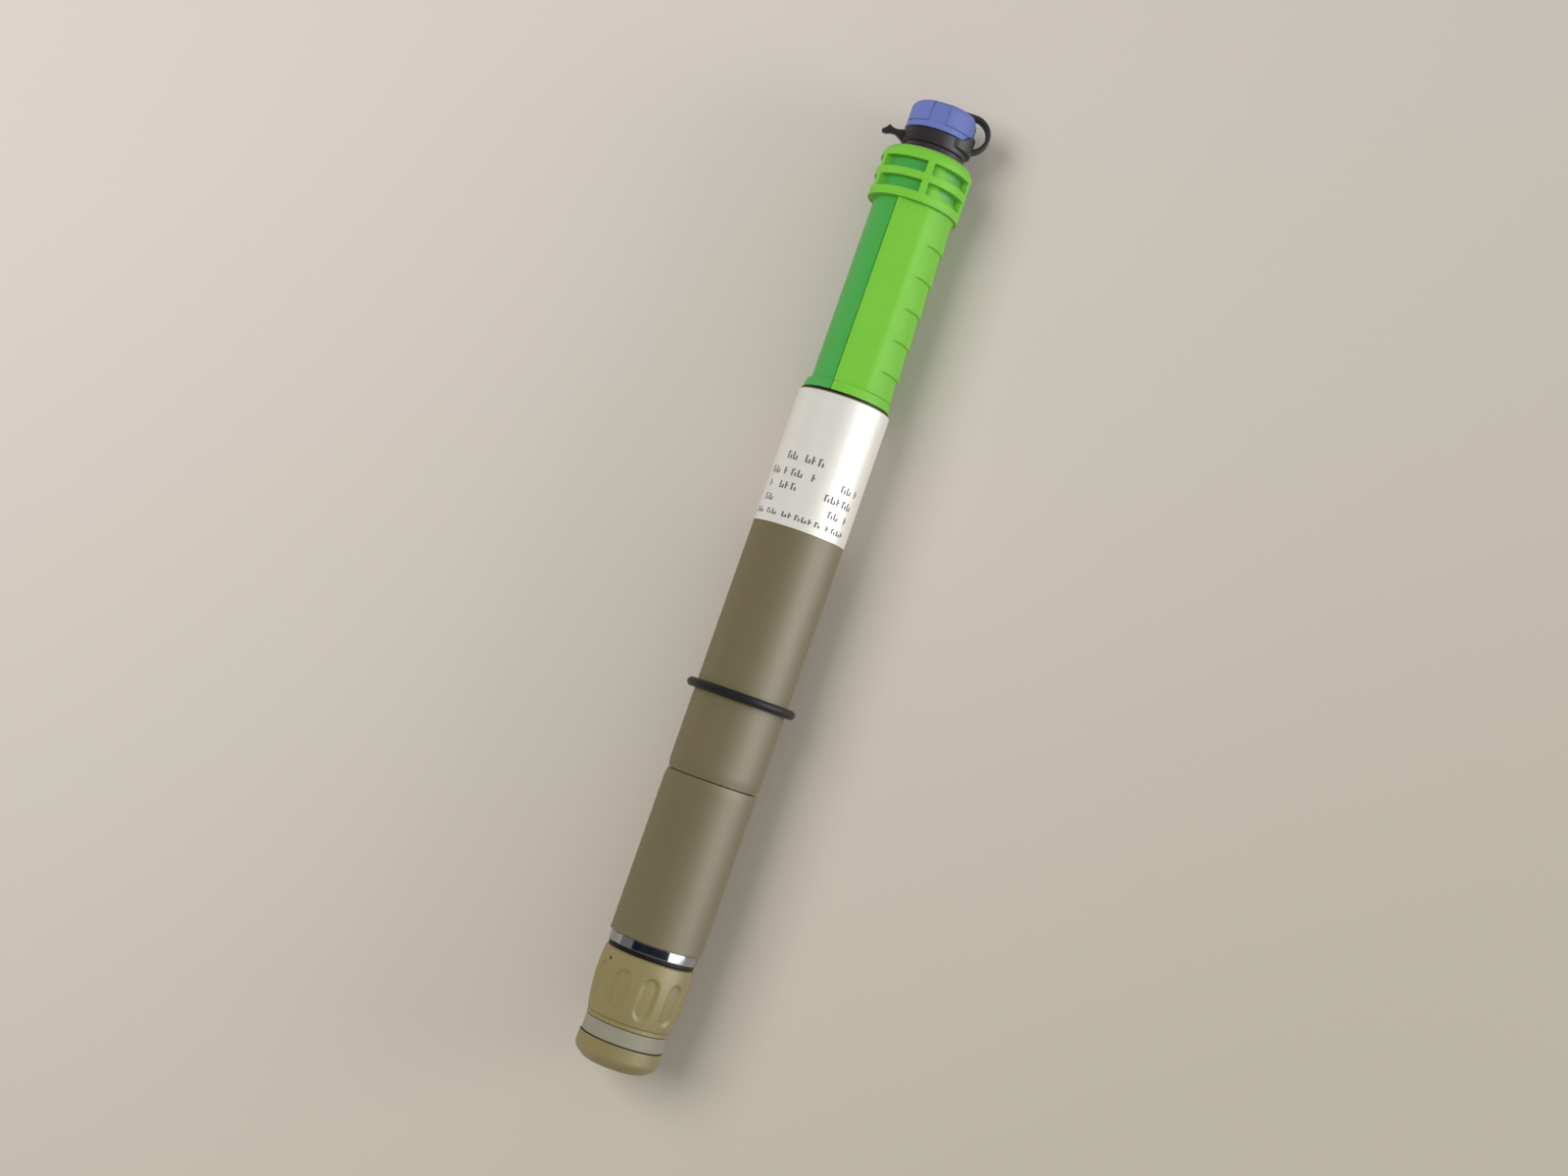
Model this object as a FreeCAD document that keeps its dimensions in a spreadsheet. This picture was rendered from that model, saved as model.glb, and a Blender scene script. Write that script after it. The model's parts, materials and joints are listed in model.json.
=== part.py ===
"""Amperometric sensor cell, lying on its position ring and its handle's head.

Each piece is turned, padded or cut about one axis, the cell's own: X runs from the tip to the cap,
Z is the side that faces up, and an azimuth is counted from Z towards -Y. A last placement, the same
for every piece, lays the cell on the floor.
"""
import FreeCAD, Part
import math
import os
import re
import Sketcher

# Driving sizes, in millimetres and degrees
SIZES = {
    # clearances
    "turning_gap": 0.1,
    "running_gap": 0.05,
    "seat_gap": 0.05,
    # tip: clamp, membrane, gasket and vent band
    "clamp_length": 6.6,
    "clamp_step": 1.15,
    "clamp_bevel_length": 2.4,
    "clamp_bevel_depth": 3.2,
    "clamp_round": 0.8,
    "clamp_floor": 1.5,
    "sample_opening_radius": 4.5,
    "membrane_thickness": 0.3,
    "gasket_thickness": 0.2,
    "gasket_inset": 0.35,
    "band_length": 4.2,
    "band_step": 0.4,
    # membrane holder, drawn on by the union nut
    "holder_wall": 1.0,
    "holder_flange_depth": 0.8,
    "holder_flange_length": 2.0,
    "nut_shoulder": 1.9,
    "flange_gap": 0.5,
    # union nut
    "nut_length": 18.5,
    "nut_foot_step": 1.45,
    "nut_skirt_step": 0.45,
    "nut_belly_step": 0.05,
    "nut_top_step": 0.4,
    "nut_skirt_height": 6.0,
    "nut_belly_height": 11.5,
    "nut_edge": 0.4,
    "flute_count": 10,
    "flute_start": 3.0,
    "flute_length": 11.9,
    "flute_tool_radius": 5.0,
    "flute_depth": 0.8,
    "flute_end": 2.6,
    "flute_azimuth": 13.0,
    "vent_hole_radius": 0.4,
    "vent_hole_depth": 1.5,
    "vent_hole_drop": 2.7,
    "vent_hole_azimuth": -51.0,
    # rings between nut and housing
    "seal_thickness": 1.2,
    "seal_step": 0.8,
    "steel_ring_length": 2.7,
    "steel_ring_step": 0.45,
    # lower housing
    "tube_radius": 12.5,
    "lower_housing_length": 44.3,
    "spigot_step": 2.8,
    "shaft_seat_depth": 6.4,
    "housing_wall": 4.0,
    "lower_bevel_length": 1.9,
    "seam_bevel_depth": 0.75,
    "join_length": 12.0,
    "join_step": 2.1,
    "join_ring_start": 3.0,
    "join_ring_groove_width": 1.6,
    "join_ring_groove_depth": 1.2,
    # electrode shaft and what it carries
    "shaft_radius": 6.0,
    "shaft_nose_radius": 3.6,
    "shaft_nose_length": 1.8,
    "shaft_flange_gap": 0.1,
    "shaft_flange_length": 4.0,
    "working_radius": 1.5,
    "working_length": 6.0,
    "working_step": 0.25,
    "membrane_gap": 0.15,
    "silver_start": 5.8,
    "silver_length": 12.0,
    "silver_wall": 0.6,
    "wire_bore_radius": 2.0,
    "wire_bore_start": 10.0,
    "sensor_length": 4.6,
    "shaft_ring_start": 25.0,
    "shaft_ring_groove_width": 1.6,
    "shaft_ring_groove_depth": 1.2,
    "potting_length": 32.0,
    # upper housing, label and position ring
    "upper_housing_length": 106.1,
    "upper_bevel_length": 2.4,
    "upper_wall": 2.0,
    "upper_end_wall": 4.0,
    "spigot_length": 13.5,
    "spigot_wall": 1.3,
    "handle_spigot_step": 3.6,
    "label_length": 36.8,
    "label_drop": 0.4,
    "label_thickness": 0.15,
    "ring_travel_place": 23.1,
    "ring_section": 2.5,
    # circuit board and wires
    "board_start": 22.0,
    "board_length": 68.0,
    "board_margin": 2.0,
    "board_thickness": 1.6,
    "board_drop": 3.0,
    "header_length": 5.0,
    "header_width": 10.0,
    "tip_header_height": 3.7,
    "cap_header_height": 6.8,
    "support_start": 8.0,
    "support_length": 2.5,
    "support_wall": 1.85,
    "chip_height": 1.2,
    "processor_start": 15.0,
    "processor_length": 8.0,
    "processor_width": 8.0,
    "amplifier_start": 30.0,
    "amplifier_length": 5.0,
    "amplifier_width": 4.0,
    "amplifier_offset": 3.5,
    "driver_start": 43.0,
    "driver_length": 6.0,
    "driver_width": 9.0,
    "capacitor_start": 26.0,
    "capacitor_pitch": 26.5,
    "capacitor_radius": 2.2,
    "capacitor_height": 6.0,
    "wire_radius": 0.5,
    "wire_pitch": 2.5,
    # handle
    "handle_gasket_thickness": 0.6,
    "handle_gasket_step": 0.35,
    "base_ring_length": 2.7,
    "base_ring_step": 0.45,
    "grip_length": 51.5,
    "grip_radius": 11.9,
    "core_radius": 10.0,
    "dark_radius": 10.6,
    "flat_distance": 10.9,
    "side_sweep": 132.0,
    "scale_start": 6.5,
    "scale_pitch": 8.93,
    "scale_count": 5,
    "scale_high_radius": 11.65,
    "scale_low_radius": 11.2,
    "head_radius": 12.6,
    "lip_height": 2.4,
    "window_height": 3.25,
    "window_ring": 2.1,
    "window_margin": 0.3,
    "window_count": 5,
    "rib_width": 1.9,
    "rib_azimuth": 3.6,
    "shoulder_height": 3.6,
    "shoulder_round": 3.1,
    "head_lid": 1.4,
    "neck_opening_radius": 9.3,
    "core_bore_radius": 8.6,
    "core_web": 2.6,
    # connector
    "flange_height": 1.8,
    "flange_foot_radius": 9.25,
    "flange_top_radius": 8.8,
    "barrel_radius": 7.95,
    "barrel_bore_radius": 6.4,
    "tail_radius": 7.4,
    "tail_length": 9.5,
    "connector_seal_thickness": 0.6,
    "connector_nut_length": 3.5,
    "insert_length": 7.0,
    "insert_depth": 9.0,
    "pin_radius": 0.5,
    "pin_circle_radius": 3.5,
    "pin_step": 60.0,
    "pin_rear": 1.5,
    "pin_drop": 3.0,
    # strap and dust cap
    "strap_ring_height": 3.9,
    "strap_ring_radius": 9.0,
    "strap_thickness": 1.2,
    "strap_width": 3.4,
    "strap_gap": 0.1,
    "loop_start": 3.2,
    "loop_reach": 9.1,
    "eyelet_radius": 4.2,
    "eyelet_thickness": 0.6,
    "tail_thickness": 2.4,
    "tail_neck_reach": 11.8,
    "tail_root_width": 2.8,
    "tail_neck_width": 1.2,
    "tail_knob_reach": 13.2,
    "tail_knob_length": 0.9,
    "tail_knob_rise": 1.5,
    "tail_tip_reach": 15.0,
    "cap_radius": 9.2,
    "cap_groove_radius": 8.85,
    "cap_depth": 6.3,
    "cap_gap": 0.2,
    "crown_thickness": 1.6,
    "crown_round": 2.3,
    "cap_gasket_thickness": 0.5,
    "cap_gasket_width": 1.4,
    "pad_count": 4,
    "pad_foot": 1.5,
    "pad_groove_sweep": 32.4,
    "pad_groove_azimuth": -9.6,
    "stud_radius": 1.5,
    "stud_head_radius": 2.6,
    "stud_head_height": 0.55,
}

# Stations and radii worked out from the sizes
PLACES = {
    "clamp_radius": "tube_radius - clamp_step",
    "band_radius": "clamp_radius - band_step",
    "spigot_radius": "tube_radius - spigot_step",
    "join_radius": "tube_radius - join_step",
    "housing_bore_radius": "tube_radius - housing_wall",
    "shaft_flange_radius": "housing_bore_radius - shaft_flange_gap",
    "handle_spigot_radius": "tube_radius - handle_spigot_step",
    "nut_foot_radius": "tube_radius - nut_foot_step",
    "nut_skirt_radius": "tube_radius - nut_skirt_step",
    "nut_belly_radius": "tube_radius - nut_belly_step",
    "nut_top_radius": "tube_radius - nut_top_step",
    "seal_radius": "tube_radius - seal_step",
    "steel_ring_radius": "tube_radius - steel_ring_step",
    "handle_gasket_radius": "tube_radius - handle_gasket_step",
    "base_ring_radius": "tube_radius - base_ring_step",
    "band_foot": "clamp_length + gasket_thickness",
    "band_top": "band_foot + band_length",
    "clamp_bevel_radius": "clamp_radius - clamp_bevel_depth",
    "gasket_radius": "clamp_radius - gasket_inset",
    "holder_foot": "clamp_floor + membrane_thickness",
    "holder_radius": "spigot_radius - holder_flange_depth",
    "holder_bore_radius": "holder_radius - holder_wall",
    "sleeve_bore_radius": "holder_radius + seat_gap",
    "nut_foot": "band_top + turning_gap",
    "nut_neck_radius": "holder_radius + running_gap",
    "nut_bore_foot": "nut_foot + nut_shoulder",
    "nut_bore_radius": "spigot_radius + running_gap",
    "holder_flange_foot": "nut_bore_foot + seat_gap",
    "holder_flange_top": "holder_flange_foot + holder_flange_length",
    "spigot_foot": "holder_flange_top + flange_gap",
    "nut_skirt": "nut_foot + nut_skirt_height",
    "nut_belly": "nut_foot + nut_belly_height",
    "nut_top": "nut_foot + nut_length",
    "flute_foot": "nut_foot + flute_start",
    "flute_top": "flute_foot + flute_length",
    "flute_axis": "nut_belly_radius + flute_tool_radius - flute_depth",
    "flute_end_radius": "flute_tool_radius - flute_depth - turning_gap",
    "seal_foot": "nut_top + turning_gap",
    "seal_top": "seal_foot + seal_thickness",
    "spigot_seat_radius": "spigot_radius + seat_gap",
    "housing_foot": "seal_top + steel_ring_length",
    "seam": "housing_foot + lower_housing_length",
    "lower_bevel_foot": "seam - lower_bevel_length",
    "seam_radius": "tube_radius - seam_bevel_depth",
    "shaft_seat": "housing_foot + shaft_seat_depth",
    "shaft_bore_radius": "shaft_radius + seat_gap",
    "join_top": "seam + join_length",
    "join_bore_radius": "join_radius + seat_gap",
    "join_groove_foot": "seam + join_ring_start",
    "join_groove_top": "join_groove_foot + join_ring_groove_width",
    "join_groove_radius": "join_radius - join_ring_groove_depth",
    "join_ring_station": "(join_groove_foot + join_groove_top) / 2",
    "join_ring_mid": "(join_groove_radius + join_bore_radius) / 2",
    "join_ring_half": "(join_bore_radius - join_groove_radius) / 2",
    "working_tip": "holder_foot + membrane_gap",
    "shaft_tip": "working_tip + working_step",
    "shaft_nose_top": "shaft_tip + shaft_nose_length",
    "working_top": "working_tip + working_length",
    "silver_foot": "shaft_tip + silver_start",
    "silver_top": "silver_foot + silver_length",
    "silver_seat_radius": "shaft_radius - silver_wall",
    "wire_bore_foot": "shaft_tip + wire_bore_start",
    "sensor_top": "wire_bore_foot + sensor_length",
    "shaft_groove_foot": "shaft_tip + shaft_ring_start",
    "shaft_groove_top": "shaft_groove_foot + shaft_ring_groove_width",
    "shaft_groove_radius": "shaft_radius - shaft_ring_groove_depth",
    "shaft_ring_station": "(shaft_groove_foot + shaft_groove_top) / 2",
    "shaft_ring_mid": "(shaft_groove_radius + shaft_bore_radius) / 2",
    "shaft_ring_half": "(shaft_bore_radius - shaft_groove_radius) / 2",
    "shaft_top": "shaft_seat + shaft_flange_length",
    "potting_top": "shaft_top + potting_length",
    "upper_bevel_top": "seam + upper_bevel_length",
    "upper_end": "seam + upper_housing_length",
    "upper_bore_radius": "tube_radius - upper_wall",
    "upper_bore_end": "upper_end - upper_end_wall",
    "spigot_end": "upper_end + spigot_length",
    "spigot_bore_radius": "handle_spigot_radius - spigot_wall",
    "label_top": "upper_end - label_drop",
    "label_foot": "label_top - label_length",
    "label_radius": "tube_radius + label_thickness",
    "ring_station": "seam + ring_travel_place",
    "ring_half": "ring_section / 2",
    "ring_mid": "tube_radius + running_gap + ring_half",
    "ring_radius": "ring_mid + ring_half",
    "board_foot": "seam + board_start",
    "board_top": "board_foot + board_length",
    "board_half_width": "upper_bore_radius - board_margin",
    "support_radius": "upper_bore_radius - seat_gap",
    "support_bore_radius": "support_radius - support_wall",
    "board_face": "board_thickness / 2 - board_drop",
    "board_back": "0 - board_thickness / 2 - board_drop",
    "tip_header_top": "board_foot + header_length",
    "cap_header_foot": "board_top - header_length",
    "header_half_width": "header_width / 2",
    "handle_foot": "upper_end + handle_gasket_thickness",
    "socket_radius": "handle_spigot_radius + seat_gap",
    "socket_end": "spigot_end + seat_gap",
    "base_ring_top": "handle_foot + base_ring_length",
    "lip_foot": "base_ring_top + grip_length",
    "row_two_foot": "lip_foot + lip_height",
    "row_two_top": "row_two_foot + window_height",
    "row_one_foot": "row_two_top + window_ring",
    "row_one_top": "row_one_foot + window_height",
    "shoulder_foot": "row_one_top + window_margin",
    "head_top": "shoulder_foot + shoulder_height",
    "lid_foot": "head_top - head_lid",
    "core_top": "head_top - connector_seal_thickness",
    "core_neck_radius": "neck_opening_radius - seat_gap",
    "web_foot": "core_top - core_web",
    "web_hole_radius": "tail_radius + seat_gap",
    "window_azimuth": "rib_azimuth + 180 / window_count",
    "window_sweep": "360 / window_count - rib_width / head_radius * 180 / pi",
    "flange_top": "head_top + flange_height",
    "tail_foot": "core_top - tail_length",
    "connector_nut_foot": "web_foot - connector_nut_length",
    "connector_nut_radius": "core_bore_radius - turning_gap",
    "strap_foot": "flange_top + strap_gap",
    "strap_top": "strap_foot + strap_ring_height",
    "strap_bore_radius": "barrel_radius + running_gap",
    "cap_foot": "strap_top + cap_gap",
    "crown_foot": "cap_foot + cap_depth",
    "crown_top": "crown_foot + crown_thickness",
    "cap_bore_radius": "barrel_radius + running_gap",
    "cap_gasket_foot": "crown_foot - cap_gasket_thickness",
    "cap_gasket_radius": "cap_bore_radius - seat_gap",
    "cap_gasket_bore_radius": "cap_gasket_radius - cap_gasket_width",
    "barrel_end": "cap_gasket_foot - seat_gap",
    "insert_face": "barrel_end - insert_depth",
    "insert_foot": "insert_face - insert_length",
    "insert_radius": "barrel_bore_radius - seat_gap",
    "pin_tip": "barrel_end - pin_drop",
    "pin_foot": "insert_foot - pin_rear",
    "pad_foot_station": "cap_foot + pad_foot",
    "eyelet_foot": "crown_top + strap_gap",
    "eyelet_top": "eyelet_foot + eyelet_thickness",
    "loop_low": "strap_foot + loop_start",
    "loop_mid": "(loop_low + eyelet_foot + strap_thickness / 2) / 2",
    "loop_radius": "(eyelet_foot + strap_thickness / 2 - loop_low) / 2",
    "stud_bore_radius": "stud_radius + running_gap",
    "stud_head_foot": "eyelet_top + running_gap",
    "stud_top": "stud_head_foot + stud_head_height",
    "stud_inner_top": "crown_foot - running_gap",
    "stud_foot": "stud_inner_top - stud_head_height",
    "rest_span": "head_top - shoulder_round - ring_station",
    "rest_drop": "ring_mid - head_radius",
    "rest_reach": "sqrt(rest_span * rest_span + rest_drop * rest_drop)",
    "rest_tilt": "atan(rest_drop / rest_span) + asin(ring_half / rest_reach)",
    "tip_overhang": "(stud_head_radius - clamp_bevel_radius) * sin(rest_tilt)",
    "lay_x": "0 - (stud_top * cos(rest_tilt) + tip_overhang) / 2",
    "lay_z": "ring_station * sin(rest_tilt) + ring_mid * cos(rest_tilt) + ring_half",
}

UP = "0"
LEFT = "-90"
RIGHT = "90"


def bound(text, home=""):
    """Put each alias's sheet before it, apart from the sheet that the text stands in."""
    def with_sheet(match):
        word = match.group(0)
        for name, cells in (("Sizes", SIZES), ("Places", PLACES)):
            if word in cells and name != home:
                return f"{name}.{word}"
        return word
    return re.sub(r"[a-z_]+", with_sheet, text)


def fill_sheets(doc):
    """Write the driving sizes, and the places that follow from them."""
    sizes = doc.addObject("Spreadsheet::Sheet", "Sizes")
    for row, (alias, number) in enumerate(SIZES.items(), 1):
        sizes.set(f"A{row}", alias)
        sizes.set(f"B{row}", str(number))
        sizes.setAlias(f"B{row}", alias)
    doc.recompute()
    places = doc.addObject("Spreadsheet::Sheet", "Places")
    for row, (alias, text) in enumerate(PLACES.items(), 1):
        places.set(f"A{row}", alias)
        places.set(f"B{row}", "=" + bound(text, "Places"))
        places.setAlias(f"B{row}", alias)
    doc.recompute()


def read(doc, alias):
    """The present value of a size or a place."""
    sheet = doc.Sizes if alias in SIZES else doc.Places
    return float(getattr(sheet, alias))


def new_body(doc, label):
    """An empty piece."""
    body = doc.addObject("PartDesign::Body", label)
    body.Label = label
    body.AllowCompound = True
    return body


def turned_place(axis):
    """A placement with its turning axis set, whose angle an expression then gives."""
    return FreeCAD.Placement(FreeCAD.Vector(), FreeCAD.Rotation(axis, 1))


def sketch_on(body, name, role, azimuth=UP, station="0"):
    """A sketch on one of the piece's own planes, turned about the cell's axis or moved along it."""
    plane = next(part for part in body.Origin.OriginFeatures if part.Role == role)
    sketch = body.newObject("Sketcher::SketchObject", name)
    sketch.AttachmentSupport = [(plane, "")]
    sketch.MapMode = "FlatFace"
    sketch.AttachmentOffset = turned_place(FreeCAD.Vector(1, 0, 0))
    sketch.setExpression("AttachmentOffset.Rotation.Angle", bound(azimuth))
    if station != "0":
        sketch.setExpression("AttachmentOffset.Base.z", bound(station))
    return sketch


def hold(sketch, kind, geometry, vertex, text):
    """Hold a point at a distance from the sketch's origin, or on its axis for 0."""
    if text == "0":
        axis = -2 if kind == "DistanceX" else -1
        sketch.addConstraint(Sketcher.Constraint("PointOnObject", geometry, vertex, axis))
        return
    index = sketch.addConstraint(Sketcher.Constraint(kind, -1, 1, geometry, vertex, 1.0))
    sketch.setExpression(f"Constraints[{index}]", bound(text))


def polygon(sketch, corners):
    """A closed outline whose corners are held by expressions."""
    first = sketch.GeometryCount
    count = len(corners)
    turn = 2 * math.pi / count
    rough = [FreeCAD.Vector(math.cos(turn * i), math.sin(turn * i), 0) for i in range(count)]
    for i in range(count):
        sketch.addGeometry(Part.LineSegment(rough[i], rough[(i + 1) % count]), False)
    for i in range(count):
        following = first + (i + 1) % count
        sketch.addConstraint(Sketcher.Constraint("Coincident", first + i, 2, following, 1))
    for i, (across, up) in enumerate(corners):
        hold(sketch, "DistanceX", first + i, 1, across)
        hold(sketch, "DistanceY", first + i, 1, up)


def box(sketch, left, right, low, high):
    """A rectangle between two stations or sides and two heights."""
    polygon(sketch, [(left, low), (right, low), (right, high), (left, high)])


def circle(sketch, across, up, radius):
    """A circle whose centre and radius are held by expressions."""
    geometry = sketch.addGeometry(Part.Circle(FreeCAD.Vector(), FreeCAD.Vector(0, 0, 1), 1.0), False)
    hold(sketch, "DistanceX", geometry, 3, across)
    hold(sketch, "DistanceY", geometry, 3, up)
    index = sketch.addConstraint(Sketcher.Constraint("Radius", geometry, 1.0))
    sketch.setExpression(f"Constraints[{index}]", bound(radius))


def spin(body, kind, sketch, sweep="360", axis="H_Axis"):
    """Turn a sketch about one of its axes, to add or to cut."""
    feature = body.newObject(f"PartDesign::{kind}", f"{sketch.Name}_{kind.lower()}")
    feature.Profile = sketch
    feature.ReferenceAxis = (sketch, [axis])
    feature.setExpression("Angle", bound(sweep))
    feature.Midplane = sweep != "360"
    return feature


def turned(doc, label, corners):
    """A piece turned from one outline of stations and radii."""
    body = new_body(doc, label)
    sketch = sketch_on(body, f"{label}_outline", "XZ_Plane")
    polygon(sketch, corners)
    spin(body, "Revolution", sketch)
    return body


def sleeve(doc, label, foot, top, inner, outer):
    """A plain ring or tube."""
    return turned(doc, label, [(foot, inner), (foot, outer), (top, outer), (top, inner)])


def o_ring(doc, label, station, middle, half):
    """A ring of round section."""
    body = new_body(doc, label)
    sketch = sketch_on(body, f"{label}_section", "XZ_Plane")
    circle(sketch, station, middle, half)
    spin(body, "Revolution", sketch)
    return body


def rounded(doc, body, radius, *rims):
    """Round some rims of a turned piece, each given by its station and radius."""
    doc.recompute()
    base = body.Tip
    places = [(read(doc, station), read(doc, around)) for station, around in rims]
    edges = []
    for number, edge in enumerate(base.Shape.Edges, 1):
        if not isinstance(edge.Curve, Part.Circle):
            continue
        rim = (edge.Curve.Center.x, edge.Curve.Radius)
        if any(math.dist(rim, place) < 0.001 for place in places):
            edges.append(f"Edge{number}")
    fillet = body.newObject("PartDesign::Fillet", f"{body.Label}_{rims[0][0]}_round")
    fillet.Base = (base, edges)
    fillet.setExpression("Radius", bound(radius))


def repeated(body, feature, copies):
    """Repeat a cut evenly round the cell's axis."""
    axis = next(part for part in body.Origin.OriginFeatures if part.Role == "X_Axis")
    pattern = body.newObject("PartDesign::PolarPattern", f"{feature.Name}_copies")
    pattern.Originals = [feature]
    pattern.Axis = (axis, [""])
    pattern.Angle = 360
    pattern.setExpression("Occurrences", bound(copies))
    body.Tip = pattern


def along(body, kind, sketch, length, reverse=False):
    """Pad or pocket a sketch along its normal."""
    feature = body.newObject(f"PartDesign::{kind}", f"{sketch.Name}_{kind.lower()}")
    feature.Profile = sketch
    feature.setExpression("Length", bound(length))
    feature.Reversed = reverse
    return feature


def rods(doc, label, foot, length, radius, centres):
    """Straight round rods along the cell."""
    body = new_body(doc, label)
    sketch = sketch_on(body, f"{label}_section", "YZ_Plane", station=foot)
    for across, up in centres:
        circle(sketch, across, up, radius)
    along(body, "Pad", sketch, length)
    return body


def membrane_clamp(doc):
    body = turned(doc, "membrane_clamp", [
        ("0", "sample_opening_radius"), ("0", "clamp_bevel_radius"),
        ("clamp_bevel_length", "clamp_radius"), ("clamp_length", "clamp_radius"),
        ("clamp_length", "sleeve_bore_radius"),
        ("clamp_floor", "sleeve_bore_radius"), ("clamp_floor", "sample_opening_radius")])
    rounded(doc, body, "clamp_round", ("clamp_bevel_length", "clamp_radius"))


def membrane_holder(doc):
    turned(doc, "membrane_holder", [
        ("holder_foot", "holder_bore_radius"), ("holder_foot", "holder_radius"),
        ("holder_flange_foot", "holder_radius"), ("holder_flange_foot", "spigot_radius"),
        ("holder_flange_top", "spigot_radius"), ("holder_flange_top", "holder_bore_radius")])


def tip_rings(doc):
    sleeve(doc, "clamp_gasket", "clamp_length", "band_foot", "sleeve_bore_radius", "gasket_radius")
    sleeve(doc, "vent_band", "band_foot", "band_top", "sleeve_bore_radius", "band_radius")
    sleeve(doc, "membrane_disc", "clamp_floor", "holder_foot", "0", "holder_radius")


def grip_nut(doc):
    body = turned(doc, "grip_nut", [
        ("nut_foot", "nut_neck_radius"), ("nut_foot", "nut_foot_radius"),
        ("nut_skirt", "nut_skirt_radius"),
        ("nut_belly", "nut_belly_radius"), ("nut_top - nut_edge", "nut_top_radius"),
        ("nut_top", "nut_top_radius - nut_edge"), ("nut_top", "nut_bore_radius"),
        ("nut_bore_foot", "nut_bore_radius"), ("nut_bore_foot", "nut_neck_radius")])
    tool = sketch_on(body, "flute_tool", "XZ_Plane", azimuth="flute_azimuth")
    tool.setExpression("AttachmentOffset.Base.y", bound("flute_axis * cos(flute_azimuth)"))
    tool.setExpression("AttachmentOffset.Base.z", bound("flute_axis * sin(flute_azimuth)"))
    polygon(tool, [
        ("flute_foot", "0"), ("flute_foot", "0 - flute_end_radius"),
        ("flute_foot + flute_end", "0 - flute_tool_radius"),
        ("flute_top - flute_end", "0 - flute_tool_radius"),
        ("flute_top", "0 - flute_end_radius"), ("flute_top", "0")])
    repeated(body, spin(body, "Groove", tool), "flute_count")
    drill = sketch_on(body, "vent_drill", "XZ_Plane", azimuth="vent_hole_azimuth")
    drill.setExpression("AttachmentOffset.Base.x", bound("nut_top - vent_hole_drop"))
    box(drill, "0", "vent_hole_radius", "nut_top_radius - vent_hole_depth", "nut_belly_radius")
    spin(body, "Groove", drill, axis="V_Axis")


def sealing_rings(doc):
    sleeve(doc, "cap_seal_ring", "seal_foot", "seal_top", "spigot_seat_radius", "seal_radius")
    sleeve(doc, "counter_electrode", "seal_top", "housing_foot", "spigot_seat_radius", "steel_ring_radius")


def lower_housing(doc):
    turned(doc, "lower_housing", [
        ("spigot_foot", "shaft_bore_radius"), ("spigot_foot", "spigot_radius"),
        ("housing_foot", "spigot_radius"), ("housing_foot", "tube_radius"),
        ("lower_bevel_foot", "tube_radius"), ("seam", "seam_radius"), ("seam", "join_radius"),
        ("join_groove_foot", "join_radius"), ("join_groove_foot", "join_groove_radius"),
        ("join_groove_top", "join_groove_radius"), ("join_groove_top", "join_radius"),
        ("join_top", "join_radius"), ("join_top", "housing_bore_radius"),
        ("shaft_seat", "housing_bore_radius"), ("shaft_seat", "shaft_bore_radius")])
    o_ring(doc, "housing_o_ring", "join_ring_station", "join_ring_mid", "join_ring_half")


def electrode_shaft(doc):
    turned(doc, "electrode_shaft", [
        ("shaft_tip", "working_radius"), ("shaft_tip", "shaft_nose_radius"),
        ("shaft_nose_top", "shaft_radius"),
        ("silver_foot", "shaft_radius"), ("silver_foot", "silver_seat_radius"),
        ("silver_top", "silver_seat_radius"), ("silver_top", "shaft_radius"),
        ("shaft_groove_foot", "shaft_radius"), ("shaft_groove_foot", "shaft_groove_radius"),
        ("shaft_groove_top", "shaft_groove_radius"), ("shaft_groove_top", "shaft_radius"),
        ("shaft_seat", "shaft_radius"), ("shaft_seat", "shaft_flange_radius"),
        ("shaft_top", "shaft_flange_radius"), ("shaft_top", "wire_bore_radius"),
        ("wire_bore_foot", "wire_bore_radius"), ("wire_bore_foot", "0"), ("working_top", "0"),
        ("working_top", "working_radius")])
    sleeve(doc, "working_electrode", "working_tip", "working_top", "0", "working_radius")
    sleeve(doc, "reference_electrode", "silver_foot", "silver_top", "silver_seat_radius", "shaft_radius")
    sleeve(doc, "temperature_sensor", "wire_bore_foot", "sensor_top", "0", "wire_bore_radius - seat_gap")
    o_ring(doc, "shaft_o_ring", "shaft_ring_station", "shaft_ring_mid", "shaft_ring_half")
    turned(doc, "potting_plug", [
        ("sensor_top", "0"), ("sensor_top", "wire_bore_radius"), ("shaft_top", "wire_bore_radius"),
        ("shaft_top", "housing_bore_radius"), ("potting_top", "housing_bore_radius"), ("potting_top", "0")])


def upper_housing(doc):
    turned(doc, "upper_housing", [
        ("seam", "join_bore_radius"), ("seam", "seam_radius"), ("upper_bevel_top", "tube_radius"),
        ("upper_end", "tube_radius"), ("upper_end", "handle_spigot_radius"),
        ("spigot_end", "handle_spigot_radius"), ("spigot_end", "spigot_bore_radius"),
        ("upper_bore_end", "spigot_bore_radius"), ("upper_bore_end", "upper_bore_radius"),
        ("join_top", "upper_bore_radius"), ("join_top", "join_bore_radius")])
    sleeve(doc, "label_sleeve", "label_foot", "label_top", "tube_radius", "label_radius")
    o_ring(doc, "position_ring", "ring_station", "ring_mid", "ring_half")


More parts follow.
